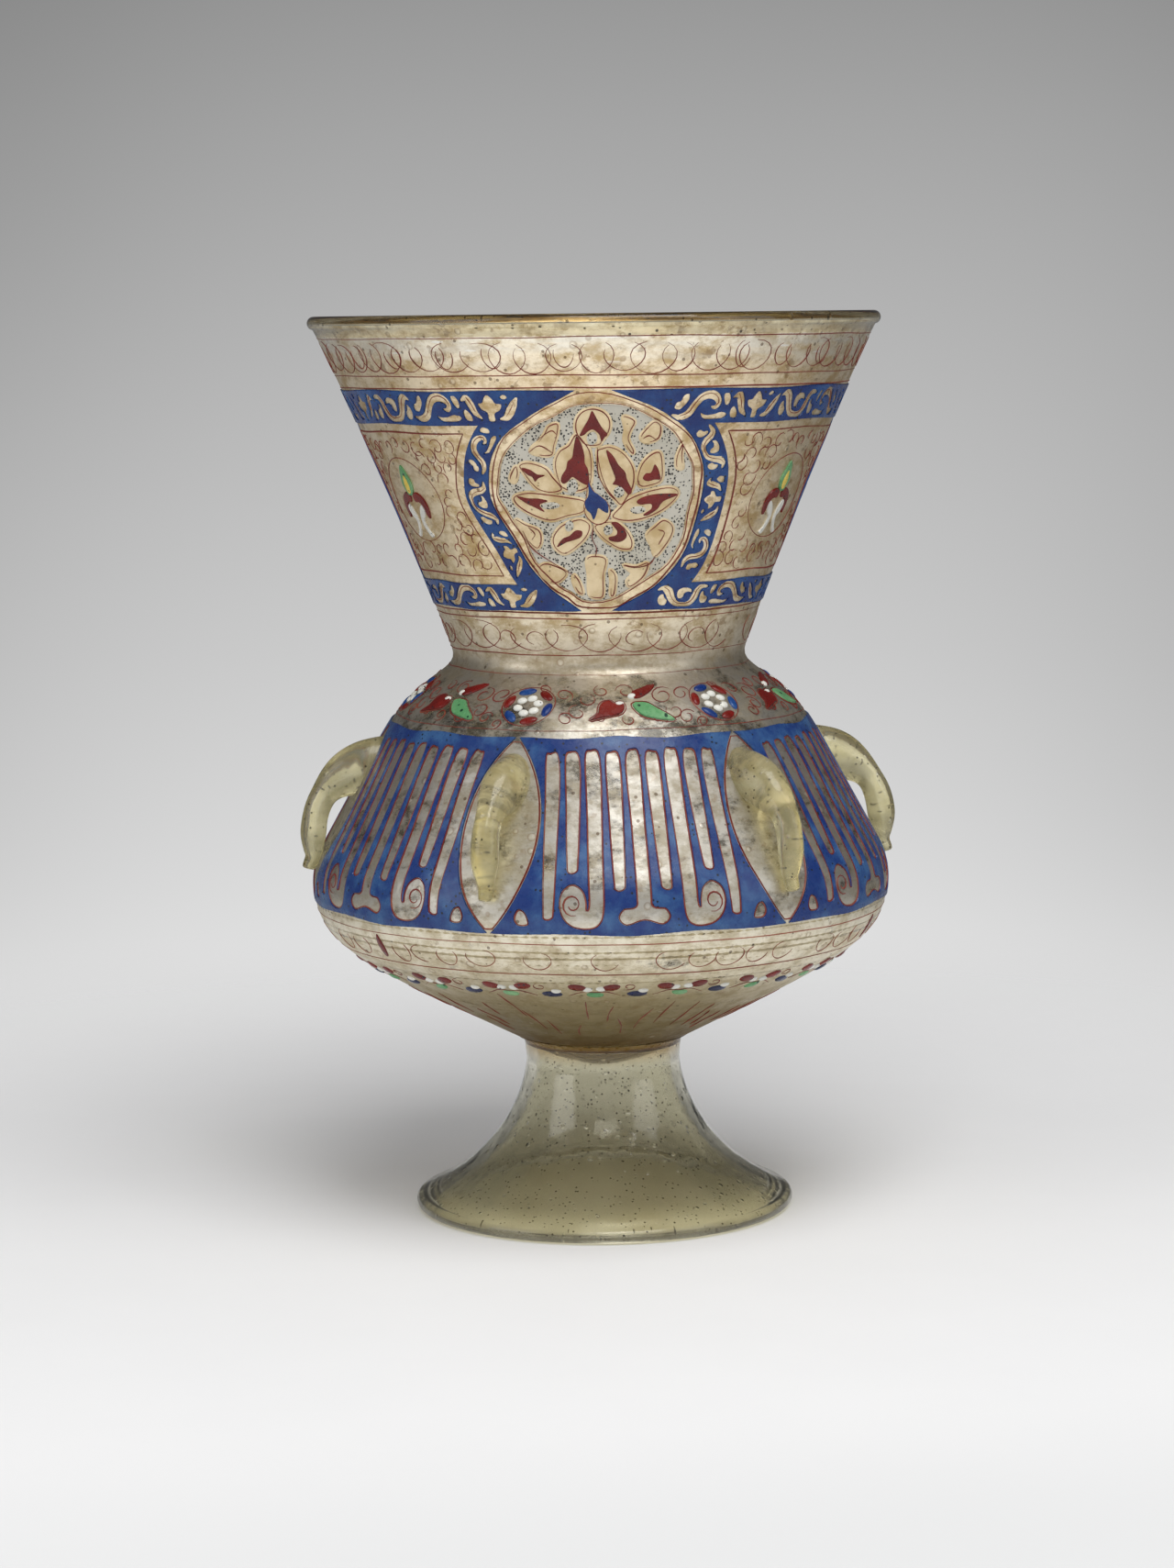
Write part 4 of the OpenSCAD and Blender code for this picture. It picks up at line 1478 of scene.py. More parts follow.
@dataclass
class Studio:
    """Floor, backdrop, lamps and camera of the photograph."""

    photo_h: int = 1709
    focal_px: float = 4220.0
    azimuth: float = -8.0
    distance: float = 1378.0
    height: float = 319.5
    pitch: float = 6.91
    roll: float = -0.7
    aside: float = -4.6
    sensor: float = 36.0
    nearest: float = 0.01
    farthest: float = 50.0
    side_fall: float = 0.19
    plain: Colour = linear(236, 236, 238)
    plain_light: float = 0.34
    floor_gap: float = 0.4
    floor_r: float = 1.1
    aim_z: float = 0.16
    greys: tuple = ((-0.35, 248), (-0.294, 245), (-0.245, 243), (-0.2, 233), (-0.155, 222), (-0.13, 215),
                    (-0.084, 202), (-0.013, 183), (0.046, 165), (0.08, 152), (0.15, 134))
    boxes: tuple[SoftBox, ...] = (
        SoftBox("top_box", (0.2, -0.75, 1.68), (1.1, 1.1), 15.5),
        SoftBox("right_strip", (1.3, -1.0, 0.8), (0.9, 1.2), 4.0),
        SoftBox("left_strip", (-1.55, -0.63, 0.75), (1.0, 1.3), 6.5),
        SoftBox("front_box", (-0.1, -1.3, 1.5), (1.0, 0.8), 8.5, shows=False))

    def build(self) -> None:
        """Make camera, world, lamps and floor."""
        self._camera()
        self._world()
        for box in self.boxes:
            box.hang(Vector((0.0, 0.0, self.aim_z)))
        self._floor()
        scene = bpy.context.scene
        scene.view_settings.view_transform = "Standard"
        scene.cycles.transparent_max_bounces = 24
        scene.cycles.transmission_bounces = 16
        scene.cycles.max_bounces = 20

    def _camera(self) -> None:
        """Camera at the photograph's place, with its slight roll."""
        data = bpy.data.cameras.new("portrait_camera")
        data.sensor_width = self.sensor
        data.lens = self.focal_px / self.photo_h * self.sensor
        data.clip_start, data.clip_end = self.nearest, self.farthest
        camera = placed("portrait_camera", data)
        a = math.radians(self.azimuth)
        x = math.sin(a) * self.distance + math.cos(a) * self.aside
        y = -math.cos(a) * self.distance + math.sin(a) * self.aside
        camera.location = Vector((x, y, self.height)) * MM
        camera.rotation_euler = (math.radians(90.0 - self.pitch), 0.0, a)
        camera.rotation_euler.rotate_axis("Z", math.radians(self.roll))
        bpy.context.scene.camera = camera

    def _world(self) -> None:
        """Backdrop that runs from near white below to grey above, and plain light for the rest."""
        world = bpy.data.worlds.new("studio_backdrop")
        bpy.context.scene.world = world
        nodes = Nodes.fresh(world)
        way = nodes.add("ShaderNodeTexCoord").outputs["Generated"]
        x, y, z = nodes.add("ShaderNodeSeparateXYZ", {0: way}).outputs
        shown = nodes.graded(z, [(height, linear(grey, grey, grey)) for height, grey in self.greys])
        path = nodes.add("ShaderNodeLightPath").outputs
        straight = nodes.math("MAXIMUM", path["Is Camera Ray"], path["Is Transmission Ray"])
        seen = nodes.math("MAXIMUM", straight, path["Is Glossy Ray"])
        kept = nodes.math("MAXIMUM", straight, self._gloss(nodes, x, y))
        strength = nodes.times(kept, self._sides(nodes, way, z))
        backdrop = nodes.add("ShaderNodeBackground", {"Color": shown, "Strength": strength}).outputs[0]
        plain = {"Color": self.plain, "Strength": self.plain_light}
        plain = nodes.add("ShaderNodeBackground", plain).outputs[0]
        nodes.join(nodes.add("ShaderNodeOutputWorld"), Surface=nodes.either(seen, plain, backdrop))

    def _sides(self, nodes: Nodes, way: Socket, z: Socket) -> Socket:
        """Share of the backdrop's light that is left towards its sides.

        Args:
            nodes: Nodes of the world.
            way: Direction that is looked in.
            z: Its rise.

        Returns:
            The share.
        """
        a = math.radians(self.azimuth)
        across = {0: way, 1: (math.cos(a), math.sin(a), 0.0)}
        aside = nodes.add("ShaderNodeVectorMath", across, operation="DOT_PRODUCT").outputs["Value"]
        off = nodes.math("SUBTRACT", aside, nodes.span(z, -0.1, 0.05, -0.01, 0.02))
        off = nodes.math("POWER", nodes.math("ABSOLUTE", off), 2.0)
        fall = nodes.times(nodes.span(off, 0.0, 0.034, 0.0, self.side_fall), nodes.span(z, -0.22, -0.12))
        return nodes.math("SUBTRACT", 1.0, fall)

    @staticmethod
    def _gloss(nodes: Nodes, x: Socket, y: Socket) -> Socket:
        """Share of the backdrop's light in reflections: more in front, less behind and on the right."""
        front = nodes.times(nodes.span(y, 0.5, -0.2, 0.36, 1.0), nodes.span(y, -0.2, -0.9, 1.0, 1.6))
        return nodes.times(front, nodes.span(x, 0.25, 0.9, 1.0, 0.58))

    def _floor(self) -> None:
        """Round pale floor that keeps the lamp's shadow and fades into the backdrop."""
        bpy.ops.object.select_all(action="DESELECT")
        bpy.ops.mesh.primitive_circle_add(vertices=96, radius=self.floor_r, fill_type="NGON")
        floor = bpy.context.view_layer.objects.active
        floor.name = "studio_floor"
        floor.location.z = -self.floor_gap * MM
        floor.data.materials.append(PAPER.material())
        floor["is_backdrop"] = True


@dataclass
class GlassVessel:
    """The blown body, its foot and the film of gold on the body."""

    lip_inside_angle: float = 195.0
    lip_outside_angle: float = -80.0
    lip_steps: int = 14
    least_r: float = 20.0
    hollow_margin: float = 1.0
    edge_end: float = -165.0
    edge_steps: int = 41
    collar_over: float = 0.9
    collar_steps: int = 6
    seat_gap: float = 0.02
    film_low: float = 63.0
    film_high: float = 317.0
    film_lift: float = 0.04
    film_rows: int = 130
    film_columns: int = 180
    seam_low: float = 59.6
    seam_top: float = 62.4
    seam_line: Sketch = ((0.35, 0.0), (0.9, -1.2), (0.4, 0.0))
    seam_back: Sketch = ((-1.6, 0.0), (-0.6, 0.8))

    def build(self) -> None:
        """Make body, foot, seam and gilding."""
        self._body()
        self._foot()
        self._seam()
        self._gilding()

    def _body(self) -> None:
        """Closed glass wall with a bead at the lip."""
        outer = PROFILE.outer()
        inner = moved_out(outer, -PROFILE.body_wall)
        mid = np.array([(outer[0, 0] + inner[0, 0]) / 2, outer[0, 1]])
        a = np.radians(np.linspace(self.lip_outside_angle, self.lip_inside_angle, self.lip_steps))
        bead = mid + PROFILE.lip_bead_r * np.stack([np.cos(a), np.sin(a)], 1)
        chain = np.vstack([outer[:0:-1], bead, inner[1:]])
        chain[[0, -1], 0] = 0.0
        piece = turned("glass_body", chain)
        points = get_points(piece.data) / MM
        azimuth = np.degrees(np.arctan2(points[:, 1], points[:, 0]))
        away = np.hypot(points[:, 0], points[:, 1])
        grown = 1.0 + GLASS.sway(azimuth, points[:, 2]) / np.maximum(away, self.least_r)
        points[:, :2] *= grown[:, None]
        set_points(piece.data, points * MM)
        settle(piece, BODY_GLASS, ["body"], GLASS_ANGLE)

    def _foot(self) -> None:
        """Closed funnel of glass, fused to the bulb by its collar."""
        flare = PROFILE.foot_line()
        mid = PROFILE.edge_mid()
        hollow = moved_out(flare, -PROFILE.foot_wall)
        ring_in = mid[0] - PROFILE.foot_ring_w
        hollow = hollow[hollow[:, 0] < ring_in - self.hollow_margin][::-1]
        a = np.radians(np.linspace(90.0 - PROFILE.flare_angle, self.edge_end, self.edge_steps)[1:])
        edge = mid + PROFILE.foot_edge_round * np.stack([np.cos(a), np.sin(a)], 1)
        outer = PROFILE.outer()
        under = outer[outer[:, 1] < PROFILE.belly_z][::-1]
        inside_r, outside_r = PROFILE.collar_r - PROFILE.foot_wall, PROFILE.collar_r + self.collar_over
        r = np.linspace(inside_r, outside_r, self.collar_steps)
        top = np.stack([r, np.interp(r, under[:, 0], under[:, 1]) - self.seat_gap], 1)
        chain = np.vstack([top, flare[1:], edge, hollow, top[:1]])
        settle(turned("glass_foot", chain, 160), FOOT_GLASS, ["foot"], GLASS_ANGLE)

    def _seam(self) -> None:
        """Amber fillet where the hot foot was stuck to the bulb."""
        wall = float(GLASS.radius(self.seam_top))
        collar, under = (PROFILE.collar_r, self.seam_low), (wall, self.seam_top)
        bend = (PROFILE.collar_r, self.seam_top)
        outside = bezier(np.add((collar, bend, under), self.seam_line), 8)
        chain = np.vstack([outside, np.add((under, collar), self.seam_back), outside[:1]])
        settle(turned("foot_seam", chain, 128), SEAM, smooth_angle=GLASS_ANGLE)

    def _gilding(self) -> None:
        """Thin film of worn gold on the outside of the body."""
        heights = np.linspace(self.film_low, self.film_high, self.film_rows)
        azimuth = np.linspace(0.0, TURN, self.film_columns + 1)[:-1]
        grid = GLASS.place(azimuth[None, :], heights[:, None], self.film_lift)
        _, faces = ring_faces(self.film_rows, self.film_columns)
        settle(meshed("gilding", grid.reshape(-1, 3), [], faces), FILM, smooth_angle=GLASS_ANGLE)


@dataclass
class SuspensionLoops:
    """Six loops, each one trail of hot glass from a broad root to a thin tail."""

    count: int = 6
    root_rise: float = 41.0
    tail_rise: float = 6.0
    gap: float = 4.4
    trail_t: float = 9.8
    trail_w: float = 9.4
    root_h: float = 19.5
    root_w: float = 16.0
    tail_t: float = 4.6
    bury: float = 18.0
    start_rise: float = 3.0
    tail_out: float = 1.0
    crown_t: float = 0.5
    crown_share: float = 0.66
    middle_pull: float = 1.0
    shoulder_pull_rise: float = 3.0
    belly_pull_share: float = 0.5
    root_until: float = 0.16
    trail_from: float = 0.5
    taper_from: float = 0.72
    rings: int = 40
    sides: int = 20
    curl_out: float = 2.2

    def build(self) -> None:
        """Make the six loops, each a little different."""
        for number in range(1, self.count + 1):
            hand = np.random.default_rng(SEED * 10 + number)
            self._loop(number, hand)

    def _line(self) -> np.ndarray:
        """Centre line of a loop as radius and height, with a small curl at the tail.

        Returns:
            The line, one row to a point.
        """
        root_z, tail_z = PROFILE.belly_z + self.root_rise, PROFILE.belly_z + self.tail_rise
        crown_z = blend(tail_z, root_z, self.crown_share)
        crown_r = float(GLASS.radius(crown_z)) + self.gap + self.trail_t / 2
        start = np.array([float(GLASS.radius(root_z)) - self.bury, root_z + self.start_rise])
        end = np.array([float(GLASS.radius(tail_z)) + self.tail_out, tail_z])
        w0, w3 = (1 - self.crown_t) ** 3, self.crown_t ** 3
        pull_r = (crown_r - w0 * start[0] - w3 * end[0]) / (1 - w0 - w3)
        shoulder = pull_r + self.middle_pull, root_z + self.shoulder_pull_rise
        belly = pull_r - self.middle_pull, blend(tail_z, root_z, self.belly_pull_share)
        line = bezier([start, shoulder, belly, end], self.rings)
        t = np.linspace(0.0, 1.0, self.rings + 1)
        line[:, 0] += self.curl_out * ease(0.9, 1.0, t)
        return line

    def _size(self, t: np.ndarray, root: float, trail: float, tail: float) -> np.ndarray:
        """Thickness of the trail along its line.

        Args:
            t: Places along the line, from 0 to 1.
            root: Thickness at the root.
            trail: Thickness of the trail.
            tail: Thickness at the tail.

        Returns:
            The thickness at each place.
        """
        first = blend(root, trail, ease(self.root_until, self.trail_from, t))
        last = blend(trail, tail, ease(self.taper_from, 1.0, t))
        return np.where(t < self.trail_from, first, last)

    def _loop(self, number: int, hand: Hand) -> None:
        """One loop, swept along its line, swelled by hand and smoothed.

        Args:
            number: Number of the loop, from 1.
            hand: Random numbers for its small irregularities.
        """
        t = np.linspace(0.0, 1.0, self.rings + 1)
        line = self._line()
        along = np.gradient(line, axis=0)
        along /= np.linalg.norm(along, axis=1, keepdims=True)
        lump = 1.0 + 0.05 * np.sin(hand.uniform(0, 6) + 9.0 * t) * ease(0.2, 0.4, t)
        half_h = self._size(t, self.root_h, self.trail_t, self.tail_t) / 2 * lump
        half_w = self._size(t, self.root_w, self.trail_w, self.tail_t) / 2 * lump
        lean = hand.uniform(-1.0, 1.0) * np.sin(math.pi * t) * 1.2
        a = np.linspace(0.0, math.tau, self.sides + 1)[:-1]
        r = line[:, :1] - along[:, 1:] * half_h[:, None] * np.cos(a)
        z = line[:, 1:] + along[:, :1] * half_h[:, None] * np.cos(a)
        y = half_w[:, None] * np.sin(a) + lean[:, None]
        turn = math.radians(TURN / self.count * (number - 1))
        c, s = math.cos(turn), math.sin(turn)
        points = np.stack([r * c - y * s, r * s + y * c, z], -1).reshape(-1, 3) * MM
        index, faces = ring_faces(self.rings + 1, self.sides)
        faces += [index[0][::-1].tolist(), index[-1].tolist()]
        piece = meshed(f"glass_loop_{number}", points, [], faces)
        with editing(piece):
            face_outwards()
        soft = piece.modifiers.new("soft", "SUBSURF")
        soft.levels = soft.render_levels = 1
        bpy.ops.object.modifier_apply(modifier=soft.name)
        settle(piece, LOOP_GLASS, [f"loop_{number}"], ROUND_ANGLE)


def brushed(points: Sequence[Point], widths: Sequence[float]) -> Outline:
    """Outline of a brush stroke along a smooth path.

    Args:
        points: Points of the path in millimetres.
        widths: Width of the stroke at each point.

    Returns:
        Closed outline of the stroke.
    """
    path = flowing(points, 4)
    wide = np.interp(np.linspace(0, len(points) - 1, len(path)), np.arange(len(points)), widths) / 2
    along = np.gradient(path, axis=0)
    along /= np.linalg.norm(along, axis=1, keepdims=True)
    side = np.stack([-along[:, 1], along[:, 0]], 1) * wide[:, None]
    first, last = path[:1] - along[:1] * wide[0], path[-1:] + along[-1:] * wide[-1]
    return np.vstack([first, path + side, last, (path - side)[::-1]])


@dataclass(frozen=True)
class VineMotif:
    """One length of reserved vine: brushed stems with their widths, and leaves beside them."""

    stems: tuple
    leaves: tuple
    length: float = 21.4

    def pieces(self) -> list[Outline]:
        """Closed outlines of stems and leaves."""
        stems = [brushed(path, widths) for path, widths in self.stems]
        return stems + [rounded(leaf, 3) for leaf in self.leaves]

    def veins(self) -> list[Outline]:
        """Thin lines along the stems."""
        return [flowing(path[1:-1], 4) + [0.0, 0.4] for path, _ in self.stems]


VINES = (
    VineMotif(
        ((((-10.3, 3.0), (-8.4, 3.7), (-6.4, 2.2), (-4.8, -1.0), (-2.8, -3.3), (0.2, -3.9), (2.8, -3.4),
           (4.4, -1.2), (5.2, 1.6), (6.8, 3.5), (9.6, 3.4)),
          (1.0, 2.4, 3.2, 2.8, 2.2, 1.9, 2.6, 3.2, 3.0, 2.4, 1.0)),),
        (((-2.6, 2.6), (-0.2, 3.6), (2.4, 2.8), (3.2, 1.2), (1.6, 1.5), (0.2, 0.8), (-0.2, -0.8),
          (-1.6, -1.4), (-2.8, 0.2)),
         ((7.0, 0.9), (8.2, 1.4), (8.8, -0.4), (10.4, -1.4), (10.0, -3.6), (8.0, -3.8), (6.8, -2.0)),
         ((-9.8, 0.2), (-8.4, 1.2), (-7.6, -0.6), (-6.4, -2.0), (-6.9, -3.9), (-8.8, -3.7), (-10.0, -1.8)))),
    VineMotif(
        ((((-10.2, -3.0), (-7.5, -3.7), (-4.6, -2.5), (-2.6, 0.6), (-0.4, 3.0), (2.6, 3.7), (5.0, 2.7),
           (6.0, 0.8), (4.9, -0.6), (3.6, -0.3)),
          (1.0, 2.2, 2.8, 2.6, 2.8, 3.0, 2.6, 2.0, 1.6, 0.8)),),
        (((-0.2, -2.4), (1.6, -3.1), (4.6, -2.9), (7.6, -2.2), (9.8, -3.0), (8.4, -4.3), (4.6, -4.6),
          (1.2, -4.3)),
         ((-9.8, -0.6), (-8.0, -1.2), (-6.4, 0.2), (-5.2, 2.2), (-5.6, 4.2), (-7.2, 3.6), (-8.0, 1.8),
          (-9.4, 1.2)),
         ((8.0, 1.6), (9.0, 0.0), (10.2, 0.6), (10.3, 2.6), (9.2, 4.2), (7.6, 3.8)))),
    VineMotif(
        ((((-10.2, 3.4), (-8.8, 1.4), (-7.2, -1.0), (-5.4, -3.2), (-3.2, -3.7)),
          (0.8, 2.4, 3.0, 2.2, 0.8)),
         (((10.2, 2.6), (8.2, 3.4), (6.8, 1.2), (5.6, -1.6), (3.6, -3.4)),
          (0.8, 2.6, 2.8, 2.2, 0.8))),
        (((-1.2, -4.2), (1.0, -4.3), (1.2, -1.6), (3.2, -0.4), (4.0, 1.6), (2.4, 1.8), (1.6, 3.2),
          (0.2, 4.5), (-1.4, 3.2), (-2.4, 1.6), (-4.4, 1.4), (-3.6, -0.6), (-1.4, -1.8)),
         ((-6.9, 3.7), (-5.6, 2.9), (-4.4, 3.6), (-5.8, 4.6)),
         ((7.4, -2.2), (9.2, -0.4), (10.2, -1.8), (9.4, -4.0), (7.2, -4.2)))))


@dataclass(frozen=True)
class VineRow:
    """Reserved vine in one border: end margins in degrees, motifs, their height and the first of them."""

    margin: float
    count: int
    tall: float
    first: int


@dataclass
class NeckBand:
    """Blue band of the neck: two borders, a strap round each medallion, and reserved gold leaves."""

    medallions: int = 3
    start: float = -98.0
    band_h: float = 75.6
    band_share: float = 0.49
    border_top: float = 11.5
    border_low: float = 9.0
    hole_grow: float = 1.0
    strap_w: float = 9.0
    panel_line: float = 3.0
    line_gap: float = 0.8
    top_row: VineRow = VineRow(17.0, 6, 1.0, 1)
    low_row: VineRow = VineRow(19.5, 4, 0.8, 0)
    strap_middles: tuple = (-24.0, 0.0, 24.0)
    strap_size: Point = (0.76, 0.74)
    right_edge: Sketch = (
        (4.6, -36.6), (11.1, -33.3), (18.5, -29.2), (25.4, -22.7), (29.6, -16.0), (32.4, -7.9),
        (34.7, 1.4), (35.4, 7.9), (34.5, 14.0), (31.5, 20.8), (25.9, 26.8), (16.7, 32.2), (5.0, 36.4))
    left_edge: Sketch = (
        (-5.6, -36.6), (-10.4, -33.2), (-15.7, -29.2), (-22.2, -21.8), (-26.9, -13.4), (-31.5, -6.0),
        (-34.4, -0.5), (-35.5, 5.0), (-34.7, 14.0), (-30.6, 21.8), (-23.1, 27.6), (-15.7, 32.2),
        (-7.0, 36.4))

    def __post_init__(self) -> None:
        """Work out the band's levels from the profile."""
        rim_z = PROFILE.lamp_h - PROFILE.lip_bead_r
        self.mid_z = blend(PROFILE.waist_z, rim_z, self.band_share)
        self.radius = self.band_h / 2
        self.low, self.top = self.mid_z - self.radius, self.mid_z + self.radius
        self.step = TURN / self.medallions

    def edge_x(self, radius: float, z: Any, way: float) -> Any:
        """Sideways place of a medallion's hand-drawn edge, of a given radius, at a height."""
        edge = flowing(self.right_edge if way > 0 else self.left_edge, 3) * (radius / self.radius)
        return np.interp(np.asarray(z, float) - self.mid_z, edge[:, 1], edge[:, 0])

    def egg(self, radius: float, waver: float = 0.0, seed: int = 0) -> Outline:
        """Hand-drawn outline of a medallion of a given radius, in millimetres.

        Args:
            radius: The radius.
            waver: How far the line strays.
            seed: Changes where it strays.

        Returns:
            The outline.
        """
        shape = rounded(self.right_edge + self.left_edge[::-1], 3) * (radius / self.radius)
        a = np.linspace(0.0, math.tau, len(shape) + 1)[:-1]
        stray = np.sin(4 * a + seed) + 0.8 * np.sin(7 * a + 2 * seed) + 0.6 * np.sin(15 * a + seed)
        return shape * (1.0 + waver * stray / 2 / radius)[:, None]

    def on_medallion(self, number: float, flat: Outline) -> Outline:
        """Lay a drawing on a medallion as seen from straight in front of it.

        Args:
            number: Which medallion; a half more is the middle of the panel after it.
            flat: Points in millimetres from the medallion's middle.

        Returns:
            Azimuth and height of each point.
        """
        z = self.mid_z + flat[:, 1]
        off = np.degrees(np.arcsin(np.clip(flat[:, 0] / GLASS.radius(z), -MOST_ASIDE, MOST_ASIDE)))
        return np.stack([self.start + self.step * number + off, z], 1)

    def side(self, number: int, radius: float, z: np.ndarray, way: float) -> Outline:
        """Edge of a medallion at heights, on the side of growing azimuth for a way of 1."""
        return self.on_medallion(number, np.stack([self.edge_x(radius, z, way), z - self.mid_z], 1))

    def field_between(self, number: int, radius: float, low: float, top: float) -> Outline:
        """Outline of the field between two medallions' eggs and two heights.

        Args:
            number: Medallion at its beginning.
            radius: Radius of both eggs.
            low: Lower height.
            top: Upper height.

        Returns:
            Closed outline.
        """
        z = np.linspace(low, top, 30)
        left, right = self.side(number, radius, z, 1.0), self.side(number + 1, radius, z, -1.0)
        return between(left, right, 60, 0.35, 9, (1, 2))

    def panel(self, number: int, inset: float = 0.0) -> Outline:
        """Outline of the gilded panel between two medallions, drawn in by an inset."""
        return self.field_between(number, self.radius + self.hole_grow + self.strap_w + inset,
                                  self.low + self.border_low + inset, self.top - self.border_top - inset)

    def build(self) -> None:
        """Make the blue enamel with its reserved leaves, and its red outlines."""
        fields, lines, thin = [], [], []
        for number in range(self.medallions):
            fields.append(self.field_between(number, self.radius + self.hole_grow, self.low, self.top))
            fields.append(self.panel(number))
            for vine, lay in self._vines(number):
                fields += [lay(piece) for piece in vine.pieces()]
                thin += [lay(vein) for vein in vine.veins()]
            lines.append(looped(self.on_medallion(number, self.egg(self.radius + 0.1, 0.5, number))))
            lines.append(looped(self.panel(number, self.panel_line)))
        lines += [level_line(self.top + self.line_gap, 0.3, 1), level_line(self.low - self.line_gap, 0.3, 2)]
        settle(pad("neck_blue_field", fields), BLUE, ["neck_blue_enamel"])
        settle(drawing("neck_outlines", lines, 0.6), LINE)
        settle(drawing("vine_lines", thin, 0.36), FAINT_LINE)

    def _vines(self, number: int) -> Iterator[tuple[VineMotif, Any]]:
        """Lengths of vine in the borders and straps after one medallion.

        Args:
            number: The medallion at the field's beginning.

        Yields:
            A length of vine, and what lays its outlines on the glass.
        """
        first = self.start + self.step * number
        levels = self.top - self.border_top / 2, self.low + self.border_low / 2
        for z, row in zip(levels, (self.top_row, self.low_row)):
            room = math.radians(self.step - 2 * row.margin) / row.count * float(GLASS.radius(z))
            for i in range(row.count):
                vine = VINES[(i + row.first + number) % len(VINES)]
                azimuth = first + blend(row.margin, self.step - row.margin, (i + 0.5) / row.count)
                size = np.array([room / vine.length * (-1.0 if i % 2 else 1.0), row.tall])
                yield vine, partial(self._in_border, azimuth, z, size)
        for way, which, skip in ((1.0, number, 1), (-1.0, number + 1, 2)):
            for i, middle in enumerate(self.strap_middles):
                size = np.array(self.strap_size) * [1.0, -1.0 if i % 2 else 1.0]
                yield VINES[(i + skip) % len(VINES)], partial(self._along_strap, which, way, middle, size)

    @staticmethod
    def _in_border(azimuth: float, z: float, size: np.ndarray, flat: Outline) -> Outline:
        """Lay a scaled drawing in a border."""
        return GLASS.spot(azimuth, z, flat * size)

    def _along_strap(self, number: int, way: float, middle: float, size: np.ndarray,
                     flat: Outline) -> Outline:
        """Bend a drawing along the strap round a medallion.

        Args:
            number: Which medallion.
            way: 1 for the side of growing azimuth, -1 for the other.
            middle: Angle of the drawing's middle on the egg, in degrees.
            size: Scale along the strap and outwards.
            flat: Points in millimetres, x along the strap and y outwards.

        Returns:
            Azimuth and height of each point.
        """
        centre = self.radius + self.hole_grow + self.strap_w / 2
        x, y = (flat * size).T
        away = centre + y
        rise = away * np.sin(math.radians(middle) + x / centre)
        across = [self.edge_x(float(r), self.mid_z + float(h), way) for r, h in zip(away, rise)]
        return self.on_medallion(number, np.stack([across, rise], 1))


@dataclass(frozen=True)
class LotusPetal:
    """One petal of the lotus: its gold and the red laid in it, as points from the medallion's middle."""

    name: str
    gold: Sketch
    red: Sketch


